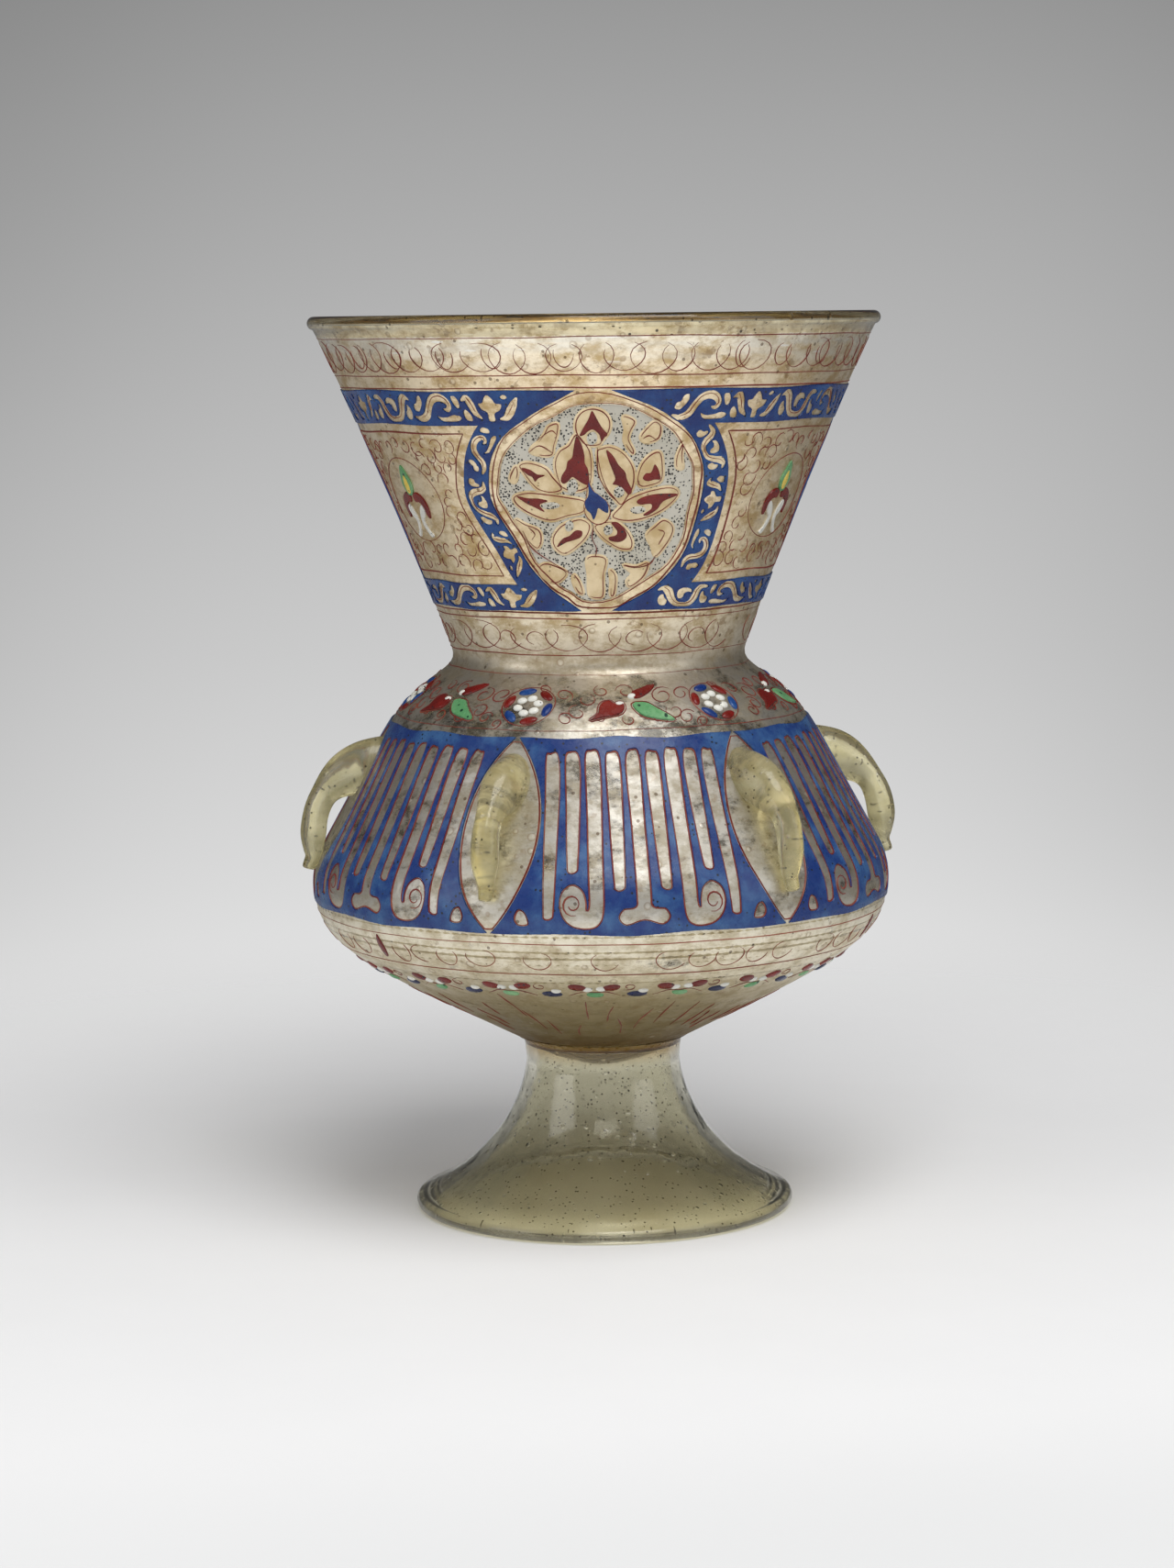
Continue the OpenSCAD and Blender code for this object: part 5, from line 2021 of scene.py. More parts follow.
LOTUS = (
    LotusPetal(
        "crown",
        ((-1.4, 32.0), (2.2, 31.0), (4.4, 28.2), (4.3, 24.6), (2.2, 21.4), (0.6, 19.6), (-3.2, 19.6),
         (-5.4, 21.4), (-6.9, 24.4), (-6.8, 28.0), (-4.8, 30.9)),
        ((-1.4, 31.2), (0.2, 28.4), (1.8, 25.6), (3.6, 23.3), (2.6, 22.2), (1.6, 20.8), (1.0, 23.0),
         (-0.1, 24.3), (-1.4, 25.0), (-2.9, 24.3), (-4.1, 23.2), (-5.6, 22.9), (-4.9, 24.6), (-3.6, 26.8),
         (-2.6, 28.6))),
    LotusPetal(
        "left_blade",
        ((-2.5, 6.0), (-6.7, 4.0), (-11.5, 5.2), (-13.5, 9.8), (-13.9, 14.2), (-12.3, 17.8), (-9.4, 19.7),
         (-6.8, 23.4), (-4.1, 20.8), (-2.2, 17.5), (-1.7, 12.0)),
        ((-6.7, 22.8), (-5.1, 20.2), (-4.1, 16.4), (-4.0, 13.7), (-2.9, 11.2), (-2.7, 6.6), (-4.6, 6.7),
         (-6.7, 8.1), (-8.2, 9.0), (-9.4, 7.7), (-11.0, 6.7), (-12.0, 7.7), (-11.6, 9.6), (-10.3, 11.7),
         (-9.7, 14.2), (-8.2, 15.6), (-7.7, 18.6))),
    LotusPetal(
        "right_blade",
        ((0.1, 17.4), (1.8, 18.6), (4.4, 19.1), (7.6, 17.8), (10.5, 15.0), (12.4, 10.9), (12.1, 5.5),
         (10.0, 1.6), (7.9, -0.8), (5.5, 1.6), (2.8, 5.5), (1.0, 10.9)),
        ((3.2, 18.0), (5.5, 15.9), (7.3, 12.8), (9.4, 10.4), (10.0, 7.9), (11.6, 4.1), (10.5, 2.7),
         (8.9, 4.4), (6.8, 6.0), (5.2, 6.4), (6.1, 8.2), (5.0, 11.5), (3.9, 14.5))),
    LotusPetal(
        "left_short",
        ((-25.8, 12.9), (-22.7, 13.9), (-17.3, 12.2), (-14.6, 9.0), (-11.6, 4.9), (-15.2, 3.6),
         (-19.5, 4.6), (-22.1, 7.1), (-24.4, 10.3)),
        ((-25.0, 12.1), (-22.1, 11.4), (-19.9, 9.9), (-17.3, 9.6), (-19.4, 8.6), (-20.6, 7.5),
         (-21.5, 9.0), (-23.2, 9.9))),
    LotusPetal(
        "right_short",
        ((13.4, 8.0), (15.0, 13.1), (18.2, 16.4), (21.1, 16.9), (22.0, 13.1), (21.6, 7.4), (17.7, 5.6),
         (14.6, 5.4)),
        ((15.3, 8.1), (16.3, 9.8), (18.1, 10.1), (19.3, 12.8), (20.6, 10.9), (21.2, 7.8), (19.3, 7.7),
         (16.9, 7.2))),
    LotusPetal(
        "left_long",
        ((-27.8, 2.2), (-23.2, 3.6), (-16.8, 3.1), (-8.9, 1.9), (-4.1, 0.6), (-4.6, -3.0), (-9.9, -4.4),
         (-15.8, -6.0), (-22.1, -3.8), (-26.6, -0.8)),
        ((-26.8, 2.4), (-23.2, 1.7), (-19.7, 1.6), (-16.5, 0.8), (-19.2, -0.5), (-17.6, -2.9),
         (-20.8, -1.4), (-23.8, 0.1))),
    LotusPetal(
        "right_long",
        ((7.5, -1.6), (10.4, 1.2), (17.1, 3.8), (24.6, 4.9), (27.4, 2.6), (23.5, -1.9), (17.1, -5.2),
         (10.2, -6.4), (5.0, -4.9)),
        ((27.3, 2.4), (20.3, 2.7), (15.5, 1.8), (13.2, 0.3), (14.5, -0.8), (17.9, -0.6), (18.1, -2.3),
         (15.4, -4.3), (16.9, -4.5), (20.1, -2.5), (22.2, 0.2))),
    LotusPetal(
        "left_low",
        ((-2.5, -7.7), (-3.6, -11.5), (-6.7, -14.8), (-11.0, -17.5), (-14.2, -15.5), (-15.0, -12.0),
         (-12.6, -8.2), (-8.9, -6.2), (-5.1, -5.6)),
        ((-13.6, -15.1), (-11.8, -12.3), (-9.4, -11.2), (-7.3, -9.4), (-5.2, -9.7), (-5.5, -11.6),
         (-8.3, -12.8), (-10.5, -13.5))),
    LotusPetal(
        "right_low",
        ((-0.9, -7.9), (1.8, -6.8), (5.5, -6.5), (9.2, -8.7), (11.6, -13.1), (11.0, -16.1), (7.1, -15.8),
         (2.8, -13.1), (0.2, -10.4)),
        ((4.6, -6.9), (6.8, -6.8), (9.0, -9.0), (9.8, -11.7), (7.6, -13.5), (4.4, -13.1), (3.7, -11.9),
         (6.1, -11.2), (6.5, -9.6))))


@dataclass
class Medallions:
    """Three medallions: a pitted pale ground with a golden lotus outlined in red."""

    band: NeckBand
    ring_w: float = 3.2
    layer: float = 0.5
    gold_t: float = 0.14
    gold_step: float = 0.012
    heart_rise: float = 0.12
    grow: float = 0.7
    fill_t: float = 0.22
    heart: Sketch = (
        (-3.1, 7.6), (-0.8, 3.9), (2.8, 1.1), (4.5, -2.7), (3.3, -6.1), (0.4, -7.6), (-3.0, -5.8),
        (-4.7, -1.6), (-3.7, 2.4))
    heart_blue: Sketch = (
        (-2.9, 7.4), (-1.5, 4.4), (1.2, 2.3), (3.4, 0.0), (3.6, -3.3), (1.8, -2.7), (0.3, -1.7),
        (-0.3, -3.8), (-1.3, -5.7), (-2.2, -3.6), (-3.6, -2.2), (-4.2, 0.3), (-2.9, 2.8))
    lobes: tuple = (
        (-1.5, 22.0, 1.8, 2.2), (-8.2, 5.7, 1.9, 2.6), (7.3, 3.7, 1.8, 2.0), (-15.6, -0.8, 3.2, 1.2),
        (13.6, -2.6, 2.6, 1.3), (-9.4, -7.8, 1.5, 1.9), (3.6, -9.3, 1.6, 1.8))
    sprays: tuple[Sketch, ...] = (
        ((-19.2, 21.0), (-17.3, 23.6), (-15.8, 26.2), (-12.8, 26.9), (-13.1, 23.0), (-14.2, 19.4),
         (-14.8, 16.6), (-17.9, 16.2), (-21.8, 17.4), (-21.3, 19.2)),
        ((-29.0, 8.2), (-28.2, 10.9), (-26.9, 12.6), (-26.4, 10.2), (-27.4, 7.1)),
        ((8.9, 29.2), (12.7, 27.6), (11.4, 24.5), (10.6, 21.5), (12.3, 17.6), (11.6, 16.8), (9.2, 20.9),
         (9.6, 25.0)),
        ((14.7, 22.4), (16.6, 24.9), (19.3, 27.2), (21.4, 25.7), (20.8, 21.9), (17.7, 20.3), (15.5, 20.7)),
        ((26.7, 11.8), (26.9, 15.8), (28.9, 19.6), (28.5, 15.3), (28.8, 11.3)),
        ((-27.4, -5.6), (-24.2, -7.3), (-19.6, -9.3), (-18.8, -13.1), (-20.3, -15.6), (-23.2, -13.1),
         (-25.2, -9.8)),
        ((16.6, -11.3), (19.3, -8.6), (22.4, -6.4), (25.4, -8.7), (24.6, -12.6), (19.8, -18.8),
         (18.3, -15.3)),
        ((-19.7, -22.4), (-16.8, -20.9), (-10.6, -23.9), (-13.8, -27.6), (-17.9, -25.9)),
        ((-8.0, -24.8), (-6.2, -27.3), (-5.1, -31.3), (-6.8, -30.8), (-8.4, -27.0)),
        ((-3.6, -19.3), (-0.4, -18.4), (2.8, -19.7), (1.8, -25.1), (1.7, -32.0), (-0.6, -33.0),
         (-3.0, -31.6), (-3.2, -25.1)),
        ((4.1, -23.2), (6.0, -25.6), (5.4, -31.7), (4.2, -31.9), (4.4, -27.0)),
        ((8.6, -21.6), (12.9, -22.2), (17.0, -21.1), (15.5, -25.7), (11.0, -29.2), (9.8, -27.3),
         (11.6, -24.6)))
    stems: tuple[Sketch, ...] = (
        ((-25.0, -9.6), (-22.0, -15.5), (-16.0, -20.0), (-8.4, -24.8)),
        ((19.6, -18.4), (17.6, -21.4), (13.0, -22.6), (8.8, -21.8)),
        ((-1.2, -7.6), (-1.8, -12.0), (-0.4, -15.6), (-0.8, -18.4)),
        ((0.2, 18.8), (0.4, 10.0), (3.4, 4.0), (6.4, 0.6)),
        ((-22.6, 17.4), (-19.0, 19.6), (-14.6, 17.2)),
        ((-19.8, 21.4), (-15.2, 24.6), (-13.2, 23.4)),
        ((15.4, 21.6), (17.4, 22.6), (19.6, 21.4)),
        ((-23.2, -8.2), (-21.0, -10.6), (-22.0, -12.6)),
        ((20.4, -9.6), (22.6, -10.8), (20.6, -14.8)))

    def build(self) -> None:
        """Make grounds, gold, red fills, hearts and outlines for the three medallions."""
        above = self.layer + self.gold_t + 0.1
        grounds = [self._ground(number) for number in range(self.band.medallions)]
        pale = [self.band.on_medallion(number, ground) for number, ground in enumerate(grounds)]
        settle(pad("medallion_grounds", pale), GROUND, ["medallion_white_grounds"])
        self._gold()
        reds = self._everywhere([rounded(petal.red) for petal in LOTUS])
        petals = pad("lotus_red", reds, self.fill_t, above - 0.02)
        settle(petals, RED, ["medallion_red_petals"])
        hearts = self._everywhere([rounded(self.heart_blue)])
        settle(pad("lotus_blue", hearts, self.fill_t, above), BLUE, ["medallion_blue_hearts"])
        whites = self._everywhere([self._lobe(*lobe) for lobe in self.lobes])
        settle(pad("lotus_lobes", whites, self.fill_t, above - 0.03), GROUND)
        lines = []
        for number, ground in enumerate(grounds):
            lines += [self.band.on_medallion(number, line) for line in self._pen_lines(ground)]
        settle(drawing("lotus_outlines", lines, 0.4, above + 0.02), LINE)

    def _gold(self) -> None:
        """Gold of the leaves, the petals and the heart, each petal a little above the one before."""
        sprays = self._everywhere([shrunk(rounded(leaf), -self.grow) for leaf in self.sprays])
        settle(pad("medallion_sprays", sprays, self.gold_t, self.layer), GOLD)
        for step, petal in enumerate(LOTUS):
            outlines = self._everywhere([shrunk(rounded(petal.gold), -self.grow)])
            lift = self.layer + self.gold_step * step
            settle(pad(f"lotus_{petal.name}", outlines, self.gold_t, lift), GOLD)
        heart = self._everywhere([rounded(self.heart)])
        settle(pad("lotus_heart", heart, self.gold_t, self.layer + self.heart_rise), GOLD)

    def _ground(self, number: int) -> Outline:
        """Hand-drawn edge of a medallion's pale ground."""
        return self.band.egg(self.band.radius - self.ring_w, 0.8, number + 4)

    def _everywhere(self, shapes: Sequence[Outline]) -> list[Outline]:
        """Lay the same drawings on every medallion."""
        numbers = range(self.band.medallions)
        return [self.band.on_medallion(number, shape) for number in numbers for shape in shapes]

    def _pen_lines(self, ground: Outline) -> list[Outline]:
        """Red outlines of one medallion's ground, lotus, leaves and stems.

        Args:
            ground: Edge of its ground.

        Returns:
            Lines in millimetres from the medallion's middle.
        """
        lines = [looped(shrunk(ground, -0.5))]
        lines += [looped(shrunk(rounded(petal.gold), 0.2)) for petal in LOTUS]
        lines.append(looped(shrunk(rounded(self.heart), 0.2)))
        lines += [looped(shrunk(rounded(leaf), 0.1))[:3 * len(leaf)] for leaf in self.sprays]
        return lines + [flowing(stem) for stem in self.stems]

    @staticmethod
    def _lobe(x: float, y: float, half_w: float, half_h: float) -> Outline:
        """Pale lobe of a place and half sizes, a little uneven.

        Args:
            x: Its place across.
            y: Its place up.
            half_w: Half its width.
            half_h: Half its height.

        Returns:
            The outline.
        """
        a = np.linspace(0, math.tau, 17)[:-1]
        rise = half_h * np.sin(a) * (1 + 0.1 * np.sin(2 * a))
        return np.stack([x + half_w * np.cos(a), y + rise], 1)


@dataclass
class Panels:
    """Gilded panels between the medallions: red scrolls round an oval with a small fleur."""

    band: NeckBand
    oval_w: float = 16.5
    oval_h: float = 14.5
    oval_clear: float = 2.4
    edge_clear: float = 4.6
    curl_pitch: float = 5.4
    curl_r: float = 2.9
    row_share: float = 0.86
    reach: float = 60.0
    bud: Sketch = (
        (0.0, 12.0), (2.4, 8.2), (3.2, 5.0), (1.4, 1.8), (-1.4, 1.8), (-3.2, 5.0), (-2.4, 8.2))
    core: Sketch = (
        (0.2, 8.6), (1.5, 5.6), (0.9, 2.6), (-0.9, 2.6), (-1.5, 5.4))
    petal: Sketch = (
        (1.0, 1.6), (3.6, 2.6), (6.8, 1.0), (8.2, -2.6), (7.2, -6.4), (6.0, -5.0), (5.6, -2.4),
        (3.8, -0.8), (1.6, -0.8))
    lobe: Sketch = (
        (4.6, -1.6), (5.6, -3.2), (4.6, -5.6), (2.8, -7.4), (3.8, -10.6), (5.6, -12.4), (3.8, -13.0),
        (1.6, -9.6), (1.2, -6.6), (2.6, -3.2))

    def build(self) -> None:
        """Make fleurs, ovals and scrolls."""
        greens, cores, reds, whites, lines = [], [], [], [], []
        hand = np.random.default_rng(SEED + 3)
        for number in range(self.band.medallions):
            lay = partial(self.band.on_medallion, number + 0.5)
            greens.append(lay(rounded(self.bud)))
            cores.append(lay(rounded(self.core)))
            for way in (1.0, -1.0):
                reds.append(lay(rounded(self.petal) * [way, 1.0]))
                whites.append(lay(rounded(self.lobe) * [way, 1.0]))
            lines.append(lay(ellipse(self.oval_w, self.oval_h, 60)))
            lines += self._scrolls(number, hand)
        settle(pad("panel_buds", greens), GREEN, ["panel_green_buds"])
        settle(pad("panel_cores", cores, 0.2, 0.5), YELLOW)
        settle(pad("panel_petals", reds), RED, ["panel_red_petals"])
        settle(pad("panel_lobes", whites, 0.55), WHITE)
        settle(drawing("panel_scrolls", lines, 0.34), LINE)

    def _in_oval(self, x: float, z: float) -> bool:
        """True for a place, x beside the panel's middle as seen, in or near the oval."""
        half_w, half_h = self.oval_w + self.oval_clear, self.oval_h + self.oval_clear
        return (x / half_w) ** 2 + ((z - self.band.mid_z) / half_h) ** 2 < 1.0

    def _scrolls(self, number: int, hand: Hand) -> list[Outline]:
        """Small curls that fill a panel outside its oval.

        Args:
            number: Medallion before the panel.
            hand: Random numbers for the hand's variety.

        Returns:
            The strokes.
        """
        border = self.band.panel(number, self.edge_clear)
        middle = self.band.start + self.band.step * (number + 0.5)
        strokes = []
        low, high = border[:, 1].min(), border[:, 1].max()
        rows = int((high - low) / (self.curl_pitch * self.row_share))
        for row in range(rows + 1):
            z = blend(low + self.curl_r, high - self.curl_r, row / max(1, rows))
            radius = float(GLASS.radius(z))
            reach = radius * math.radians(self.reach)
            count = int(2 * reach / self.curl_pitch)
            for i in range(count + 1):
                x = blend(-reach, reach, i / count) + hand.uniform(-1, 1) + (row % 2) * self.curl_pitch / 2
                azimuth = middle + math.degrees(x / radius)
                if not inside((azimuth, z), border) or self._in_oval(radius * math.sin(x / radius), z):
                    continue
                size, turns, begin = hand.uniform(0.8, 1.25), hand.uniform(0.4, 0.95), hand.uniform(0, TURN)
                stroke = curl(self.curl_r * size, turns, begin, (-1.0, 1.0)[i % 2])
                strokes.append(GLASS.spot(azimuth, z + hand.uniform(-0.8, 0.8), stroke))
        return strokes


@dataclass
class NeckScrolls:
    """Red lines and running scrolls on the gilded bands of neck and belly."""

    ray_step: float = 6.0
    neck_lines: tuple = (312.3, 299.6, 216.2, 203.4, 196.6, 179.4)

    def build(self) -> None:
        """Make the drawn bands from the rim to the belly."""
        lines = [level_line(z, seed=seed) for seed, z in enumerate(self.neck_lines)]
        lines += running_scroll(305.8, 5.4, 6.6, 9.8, 11, 0.92, (230.0, 345.0))
        lines += running_scroll(306.0, 4.4, 3.6, 21.0, 15, 0.5)
        lines += running_scroll(209.8, 5.4, 8.2, 12.0, 12, 0.92, (210.0, 330.0))
        lines += running_scroll(209.6, -2.6, 3.6, 12.0, 16, 0.5)
        settle(drawing("neck_scrolls", lines, 0.38), LINE)
        faint = [level_line(110.4, 0.3, 7), level_line(99.2, 0.3, 9)]
        faint += running_scroll(104.4, 3.6, 4.6, 11.0, 13, 0.6)
        settle(drawing("belly_scrolls", faint, 0.36), FAINT_LINE)
        settle(drawing("underside_rays", self._rays(), 0.56), LINE)

    def _rays(self) -> list[Outline]:
        """Loose strokes that run up the underside from the foot.

        Returns:
            The strokes.
        """
        hand = np.random.default_rng(SEED + 14)
        rays = []
        for azimuth in np.arange(0.0, TURN, self.ray_step):
            low, length, slant = hand.uniform(69, 79), hand.uniform(12, 25), hand.uniform(-3, 3)
            flat = flowing([(0.0, 0.0), (slant * 0.2, length * 0.5), (slant, length)], 4)
            rays.append(GLASS.spot(azimuth + hand.uniform(-3, 3), low, flat, False))
        return rays


@dataclass
class FlowerBand:
    """Upper shoulder: a rosette over each loop, a spray of leaves between, and fine tendrils."""

    loops: int = 6
    mid_z: float = 187.0
    leaf_size: float = 1.2
    leaf_line: float = 0.5
    heart_at: Point = (-4.6, -1.8)
    small_at: Point = (6.4, 6.0)
    green_at: Point = (7.6, -2.6)
    spray_dots: tuple = ((-2.2, 0.8, 1.7, 1.1, 10.0), (2.6, 4.4, 1.6, 1.3, 20.0))
    dots: int = 6
    dot_start: float = 20.0
    dot_ring: Point = (3.6, 3.5)
    dot_size: Point = (1.8, 1.45)
    arc_start: float = 26.0
    arc_ring: Point = (7.5, 6.9)
    arc_size: Point = (3.2, 1.6)
    edge_ring: Point = (9.5, 8.9)
    curls: tuple = (
        (-13.5, 3.0, 4.0), (-9.0, -5.4, 3.0), (13.5, 4.2, 4.2), (11.0, -6.2, 3.2), (0.6, 7.0, 3.4),
        (-17.0, -3.0, 3.4), (17.2, -3.4, 3.2), (-20.6, 5.2, 3.2), (20.8, 4.8, 3.4), (-21.4, -5.8, 2.8),
        (21.6, -6.0, 3.0), (-7.6, 7.2, 2.8), (0.4, -6.4, 2.6), (-27.0, 8.2, 2.2), (27.4, -8.4, 2.2))
    heart_leaf: Sketch = (
        (-7.0, -3.8), (-4.4, -3.2), (-1.0, -2.4), (2.2, -1.4), (3.4, 1.0), (2.4, 3.0), (0.6, 2.4),
        (-0.6, 3.4), (-2.8, 2.8), (-4.0, 0.8), (-4.6, -1.6))
    small_leaf: Sketch = (
        (-3.6, -1.8), (-1.0, -2.2), (2.4, 0.2), (4.2, 2.8), (2.0, 2.8), (-0.8, 1.6), (-3.0, 0.4))
    green_leaf: Sketch = (
        (-4.4, 2.6), (-0.4, 3.0), (2.6, 0.6), (7.6, -3.8), (2.0, -3.2), (-2.4, -1.4))

    def build(self) -> None:
        """Make leaves, rosettes and tendrils."""
        reds, greens, dots, blue_arcs, red_arcs, lines = [], [], [], [], [], []
        hand = np.random.default_rng(SEED + 5)
        step = TURN / self.loops
        for i in range(self.loops):
            spray, rosette = step * (i + 0.5), step * i
            reds.append(self._leaf(spray, self.heart_leaf, self.heart_at))
            reds.append(self._leaf(spray, self.small_leaf, self.small_at))
            greens.append(self._leaf(spray, self.green_leaf, self.green_at))
            dots += [Drop.beside(self.mid_z, spray, *dot) for dot in self.spray_dots]
            for k in range(self.dots):
                a = math.radians(TURN / self.dots * k + self.dot_start)
                dots.append(self._petal(rosette, a, self.dot_ring, self.dot_size, hand.uniform(-20, 20)))
                a += math.radians(self.arc_start)
                arcs = blue_arcs if k % 2 else red_arcs
                arcs.append(self._petal(rosette, a, self.arc_ring, self.arc_size, math.degrees(a) + 90.0))
            lines.append(GLASS.spot(rosette, self.mid_z, ellipse(*self.edge_ring, 28), False))
            lines += self._tendrils(spray, hand)
            for leaf, at in ((self.heart_leaf, self.heart_at), (self.green_leaf, self.green_at)):
                lines.append(looped(self._leaf(spray, leaf, at, self.leaf_line)))
        settle(pad("flower_red_leaves", reds, 0.55), RED, ["shoulder_red_leaves"])
        settle(pad("flower_green_leaves", greens, 0.55), GREEN, ["shoulder_green_leaves"])
        whites = drops("flower_white_dots", dots, 0.8)
        settle(whites, WHITE, ["shoulder_white_dots"], ROUND_ANGLE)
        settle(drops("flower_blue_arcs", blue_arcs, 0.7), BLUE, smooth_angle=ROUND_ANGLE)
        settle(drops("flower_red_arcs", red_arcs, 0.7), RED, smooth_angle=ROUND_ANGLE)
        settle(drawing("flower_tendrils", lines, 0.5), LINE)

    def _leaf(self, azimuth: float, leaf: Sketch, at: Point, grow: float = 0.0) -> Outline:
        """Outline of a leaf beside a spray's middle, grown by a margin."""
        return GLASS.spot(azimuth, self.mid_z, shrunk(rounded(leaf) * self.leaf_size, -grow) + at, False)

    def _petal(self, azimuth: float, angle: float, ring: Point, size: Point, turn: float) -> Drop:
        """Heap of enamel on a ring round a rosette's middle."""
        x, y = ring[0] * math.cos(angle), ring[1] * math.sin(angle)
        return Drop.beside(self.mid_z, azimuth, x, y, *size, turn)

    def _tendrils(self, azimuth: float, hand: Hand) -> list[Outline]:
        """Pen curls round a spray, each drawn a little differently.

        Args:
            azimuth: Azimuth of the spray.
            hand: Random draws.

        Returns:
            The strokes.
        """
        strokes = []
        for x, y, radius in self.curls:
            size, turns, begin = hand.uniform(0.85, 1.1), hand.uniform(0.8, 1.3), hand.uniform(0, TURN)
            stroke = curl(radius * size, turns, begin, hand.choice((-1.0, 1.0)))
            strokes.append(GLASS.spot(azimuth, self.mid_z, stroke + [x, y], False))
        return strokes


@dataclass
class BarBand:
    """Blue shoulder band: pointed bars and mirrored volutes left bare, a pointed oval round each loop."""

    loops: int = 6
    top: float = 177.0
    low: float = 114.0
    oval_w: float = 28.0
    oval_past: float = 0.5
    oval_gap: float = 0.9
    oval_line: float = 0.6
    line_end: float = 1.4
    low_share: float = 0.97
    top_share: float = 0.8
    pitch: float = 8.45
    spiral_r: float = 3.8
    spiral_turns: float = 1.25
    spiral_z: float = 124.2
    short: tuple = (172.6, 128.6, 3.2, 2.3)
    stub: tuple = (172.8, 134.2, 3.2, 2.3)
    plain: tuple = (172.2, 119.2, 3.1, 2.1)
    footed: Sketch = (
        (0.4, 173.4), (3.2, 170.4), (2.9, 150.0), (2.8, 128.0), (3.2, 123.4), (7.4, 122.6), (9.2, 119.6),
        (6.4, 117.0), (0.0, 118.6), (-6.4, 117.0), (-9.2, 119.6), (-7.4, 122.6), (-3.2, 123.4),
        (-2.8, 128.0), (-2.9, 150.0), (-3.2, 169.8))
    hooked: Sketch = (
        (0.5, 173.2), (3.3, 170.2), (3.1, 150.0), (2.9, 132.0), (2.7, 124.4), (3.3, 122.4), (3.5, 125.4),
        (4.8, 128.8), (8.4, 130.8), (12.0, 128.8), (13.2, 124.8), (12.2, 120.4), (9.6, 117.4), (6.0, 116.0),
        (1.4, 116.0), (-1.6, 118.0), (-2.8, 122.6), (-2.9, 132.0), (-3.1, 150.0), (-3.3, 170.8))
    scrap: Sketch = ((40.6, 117.4), (44.4, 117.0), (46.0, 119.4), (44.6, 122.4), (42.0, 121.4))

    def build(self) -> None:
        """Make the blue enamel and its red outlines."""
        fields, lines = [], []
        for i in range(self.loops):
            middle = TURN / self.loops * (i + 0.5)
            fields.append(self._field(i))
            for shape in self._bars():
                fields.append(self._lay(middle, shape))
                lines.append(looped(self._lay(middle, shrunk(shape, 0.3))))
            for side, begin in ((1.0, 250.0), (-1.0, 290.0)):
                spiral = curl(self.spiral_r, self.spiral_turns, begin, side)
                lines.append(self._lay(middle, spiral + [side * 3 * self.pitch, self.spiral_z]))
            lines.append(self._oval(i))
        settle(pad("bar_band_blue", fields), SHOULDER_BLUE, ["shoulder_blue_enamel"])
        settle(drawing("bar_outlines", lines, 0.62), LINE)

    def _lay(self, azimuth: float, shape: Outline) -> Outline:
        """Lay a drawing on the band, drawn together towards the top and cut off beside the ovals.

        Args:
            azimuth: Azimuth of its middle.
            shape: The drawing, across and height.

        Returns:
            Azimuth and height of each point.
        """
        z = shape[:, 1]
        across = shape[:, 0] * blend(self.low_share, self.top_share, ease(self.low, self.top, z))
        room = TURN / self.loops / 2 - self._oval_half(z, -self.oval_gap)
        return np.stack([azimuth + np.clip(np.degrees(across / GLASS.radius(z)), -room, room), z], 1)

    def _oval_half(self, z: np.ndarray, shrink: float = 0.0) -> np.ndarray:
        """Half width of a loop's pointed oval at a height, as an angle.

        Args:
            z: The heights.
            shrink: How far the oval's edge is moved in.

        Returns:
            The angles in degrees.
        """
        h, w = self.top - self.low + 2 * self.oval_past, self.oval_w
        arc_r = (h * h + w * w) / (4 * w)
        y = np.asarray(z, float) - (self.top + self.low) / 2
        x = np.sqrt(np.maximum(arc_r ** 2 - y ** 2, 0.0)) - arc_r + w / 2 - shrink
        return np.degrees(np.arcsin(np.clip(np.maximum(x, 0.05) / GLASS.radius(z), 0.0, MOST_ASIDE)))

    def _oval(self, number: int) -> Outline:
        """Closed line inside a loop's pointed oval.

        Args:
            number: Number of the loop.

        Returns:
            The line.
        """
        z = np.linspace(self.low + self.line_end, self.top - self.line_end, 34)
        half, middle = self._oval_half(z, self.oval_line), TURN / self.loops * number
        right, left = np.stack([middle + half, z], 1), np.stack([middle - half, z], 1)
        return looped(np.vstack([right, left[::-1]]))

    def _field(self, number: int) -> Outline:
        """Outline of the blue between two pointed ovals.

        Args:
            number: Number of the loop before it.

        Returns:
            The outline.
        """
        z = np.linspace(self.low, self.top, 34)
        half, step = self._oval_half(z), TURN / self.loops
        left = np.stack([step * number + half, z], 1)
        right = np.stack([step * (number + 1) - half, z], 1)
        return between(left, right, 50, 0.5, 13, (number, number + 3))

    def _bars(self) -> list[Outline]:
        """Bare shapes between two ovals: nine bars, the middle one footed, two of them ending in volutes.

        Returns:
            The shapes, across and height.
        """
        short, stub, plain = (self._upright(*sizes) for sizes in (self.short, self.stub, self.plain))
        row = (short, self.hooked, stub, plain)
        shapes = [rounded(self.footed)]
        for side in (1.0, -1.0):
            for i, bar in enumerate(row):
                shapes.append((rounded(bar) + [self.pitch * (i + 1), 0.0]) * [side, 1.0])
            shapes.append(rounded(self.scrap) * [side, 1.0])
        return shapes

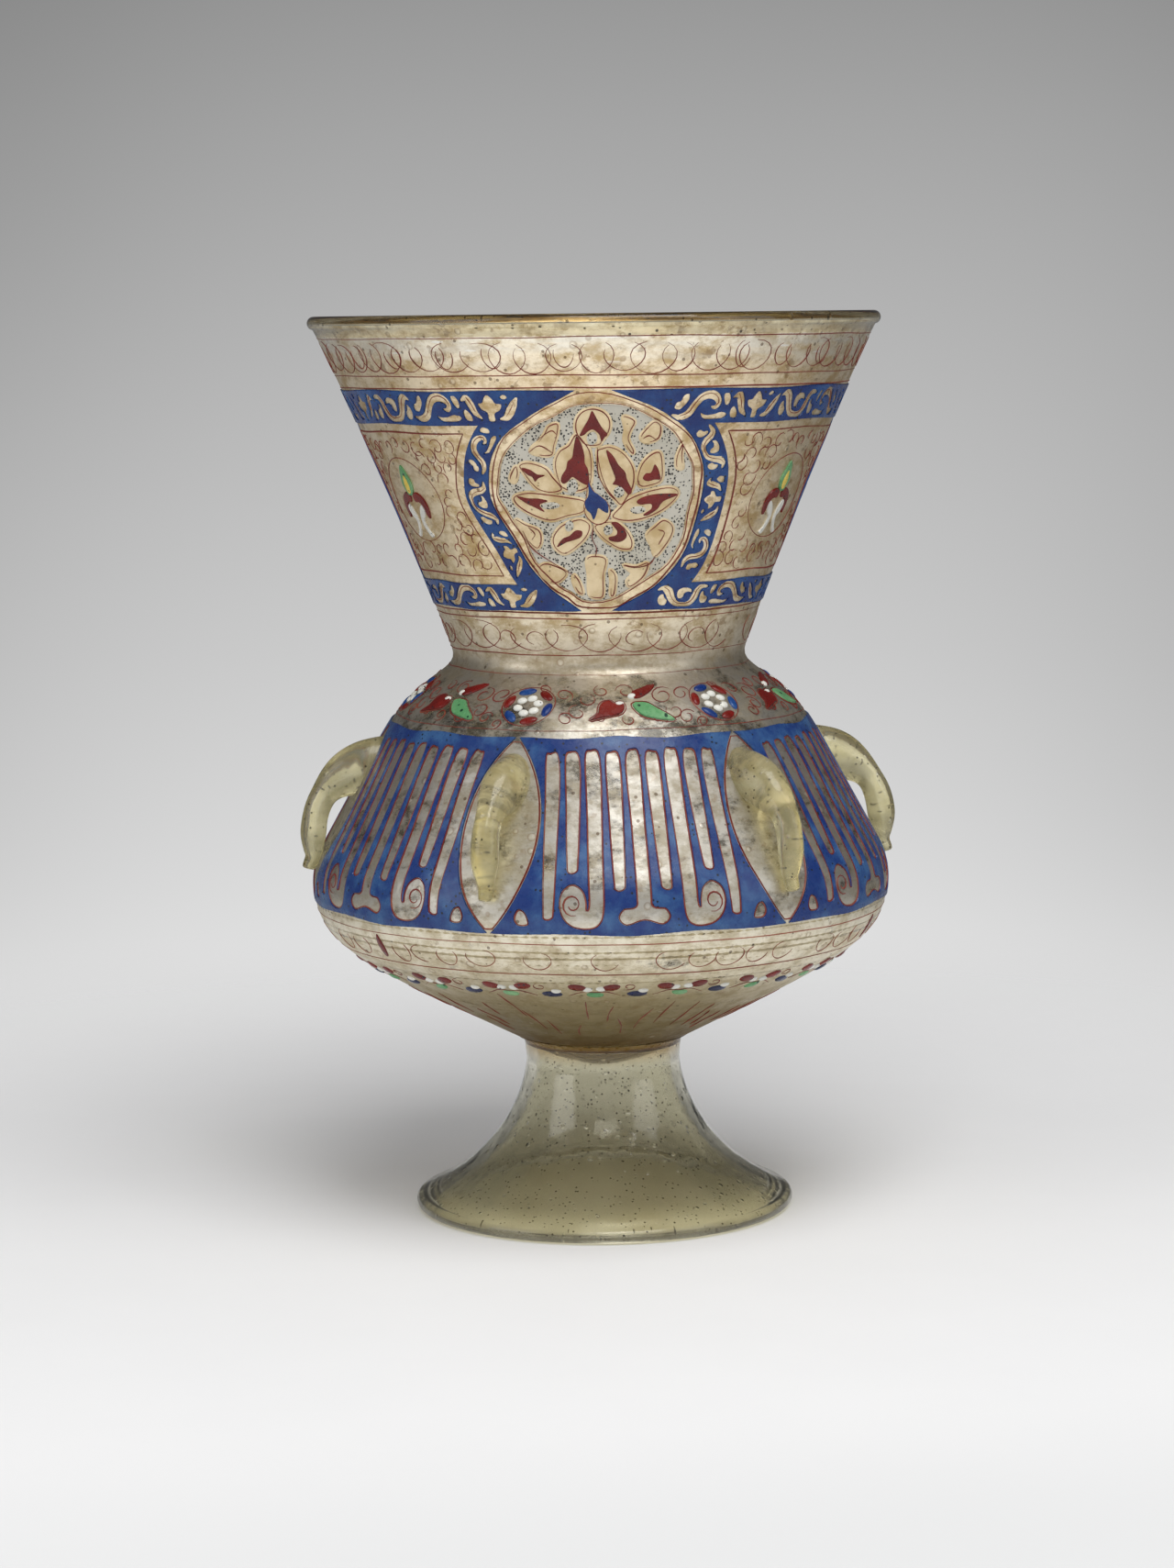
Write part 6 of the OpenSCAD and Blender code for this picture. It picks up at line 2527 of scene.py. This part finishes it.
    @staticmethod
    def _upright(top: float, low: float, half_top: float, half_low: float) -> list[Point]:
        """Corners of a bar with a slanted head and a blunt end.

        Args:
            top: Height of its head.
            low: Height of its end.
            half_top: Half width at the head.
            half_low: Half width at the end.

        Returns:
            The corners.
        """
        mid, half = (top + low) / 2, (half_top + half_low) / 2 + 0.2
        return [(0.6, top), (half_top, top - 3.0), (half, mid), (half_low, low + 4.0), (half_low * 0.7, low),
                (-half_low * 0.7, low + 0.3), (-half_low, low + 4.2), (-half, mid), (-half_top, top - 2.2)]


@dataclass
class BellyFlowers:
    """Row of small flowers under the belly, and single red strokes above it."""

    count: int = 18
    row_z: float = 92.5
    stroke_z: float = 105.0
    stroke_azimuths: tuple = (-148.0, -28.0, 92.0)
    curl_at: Point = (-3.4, 2.4)
    stem: Sketch = ((-9.0, -4.6), (-4.0, -1.2), (0.0, -1.6), (4.0, -1.2), (9.0, -4.6))
    stroke: Sketch = ((0.6, 5.0), (2.0, 1.0), (1.2, -3.6), (-0.4, -4.6), (-0.8, -0.6), (-0.6, 2.6))

    def build(self) -> None:
        """Make the heaps of enamel and their red stems."""
        reds, whites, greens, blues, lines = [], [], [], [], []
        hand = np.random.default_rng(SEED + 9)
        step = TURN / self.count
        drop = partial(Drop.beside, self.row_z)
        for i in range(self.count):
            at, far = step * i, step * (i + 0.5)
            for way in (1.0, -1.0):
                reds.append(drop(at, way * 5.8, 2.2 + hand.uniform(-0.5, 0.5), 3.3, 2.2, way * 18.0))
                whites.append(drop(at, way * 2.4, 1.0 + hand.uniform(-0.5, 0.5), 1.9, 1.5))
            greens.append(drop(at, hand.uniform(-0.8, 0.8), -3.6, 3.0, 1.9, hand.uniform(-30, 30)))
            blues.append(drop(far, 0.0, -3.2, 3.6, 2.1, hand.uniform(-20, 20)))
            whites.append(drop(far, 1.8, -0.6, 1.8, 1.3))
            tendril = curl(2.4, 1.0, hand.uniform(0, TURN)) + self.curl_at
            lines.append(GLASS.spot(far, self.row_z, tendril, False))
            lines.append(GLASS.spot(at, self.row_z, flowing(self.stem), False))
        strokes = [GLASS.spot(at, self.stroke_z, rounded(self.stroke), False) for at in self.stroke_azimuths]
        settle(drops("belly_flower_red", reds), RED, ["belly_red_dots"], ROUND_ANGLE)
        settle(drops("belly_flower_white", whites), WHITE, ["belly_white_dots"], ROUND_ANGLE)
        settle(drops("belly_flower_green", greens), GREEN, ["belly_green_dots"], ROUND_ANGLE)
        settle(drops("belly_flower_blue", blues), DARK_BLUE, ["belly_blue_dots"],
               ROUND_ANGLE)
        settle(pad("belly_red_strokes", strokes, 0.3), RED)
        settle(drawing("belly_stems", lines, 0.36), LINE)


@dataclass
class OilInsert:
    """Cup, wick holder and wick: the solids themselves, with finishes of their own."""

    finishes: tuple = (("oil_cup", CUP_GLASS), ("wick_holder", BRASS), ("wick", COTTON))

    def dress(self) -> None:
        """Give each solid its finish."""
        for node, finish in self.finishes:
            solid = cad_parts[node]
            solid.data.materials.clear()
            solid.data.materials.append(finish.material())
            LOG.info("%s dressed", node)


def write_sizes() -> None:
    """Turn the solids' box and the dressed model's box into plain lists of numbers."""
    boxes = {"cad": CAD_BOX, "visual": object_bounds()}
    plain = {key: [[float(v) for v in corner] for corner in box] for key, box in boxes.items()}


def main() -> None:
    """Build the studio and every sub-assembly of the lamp, in order."""
    logging.basicConfig(level=logging.INFO, format="%(name)s %(message)s")
    Studio().build()
    GlassVessel().build()
    SuspensionLoops().build()
    band = NeckBand()
    painted = (band, Medallions(band), Panels(band), NeckScrolls(), FlowerBand(), BarBand(), BellyFlowers())
    for part in painted:
        part.build()
        LOG.info("%s done", type(part).__name__)
    OilInsert().dress()
    write_sizes()


if __name__ == "__main__":
    main()
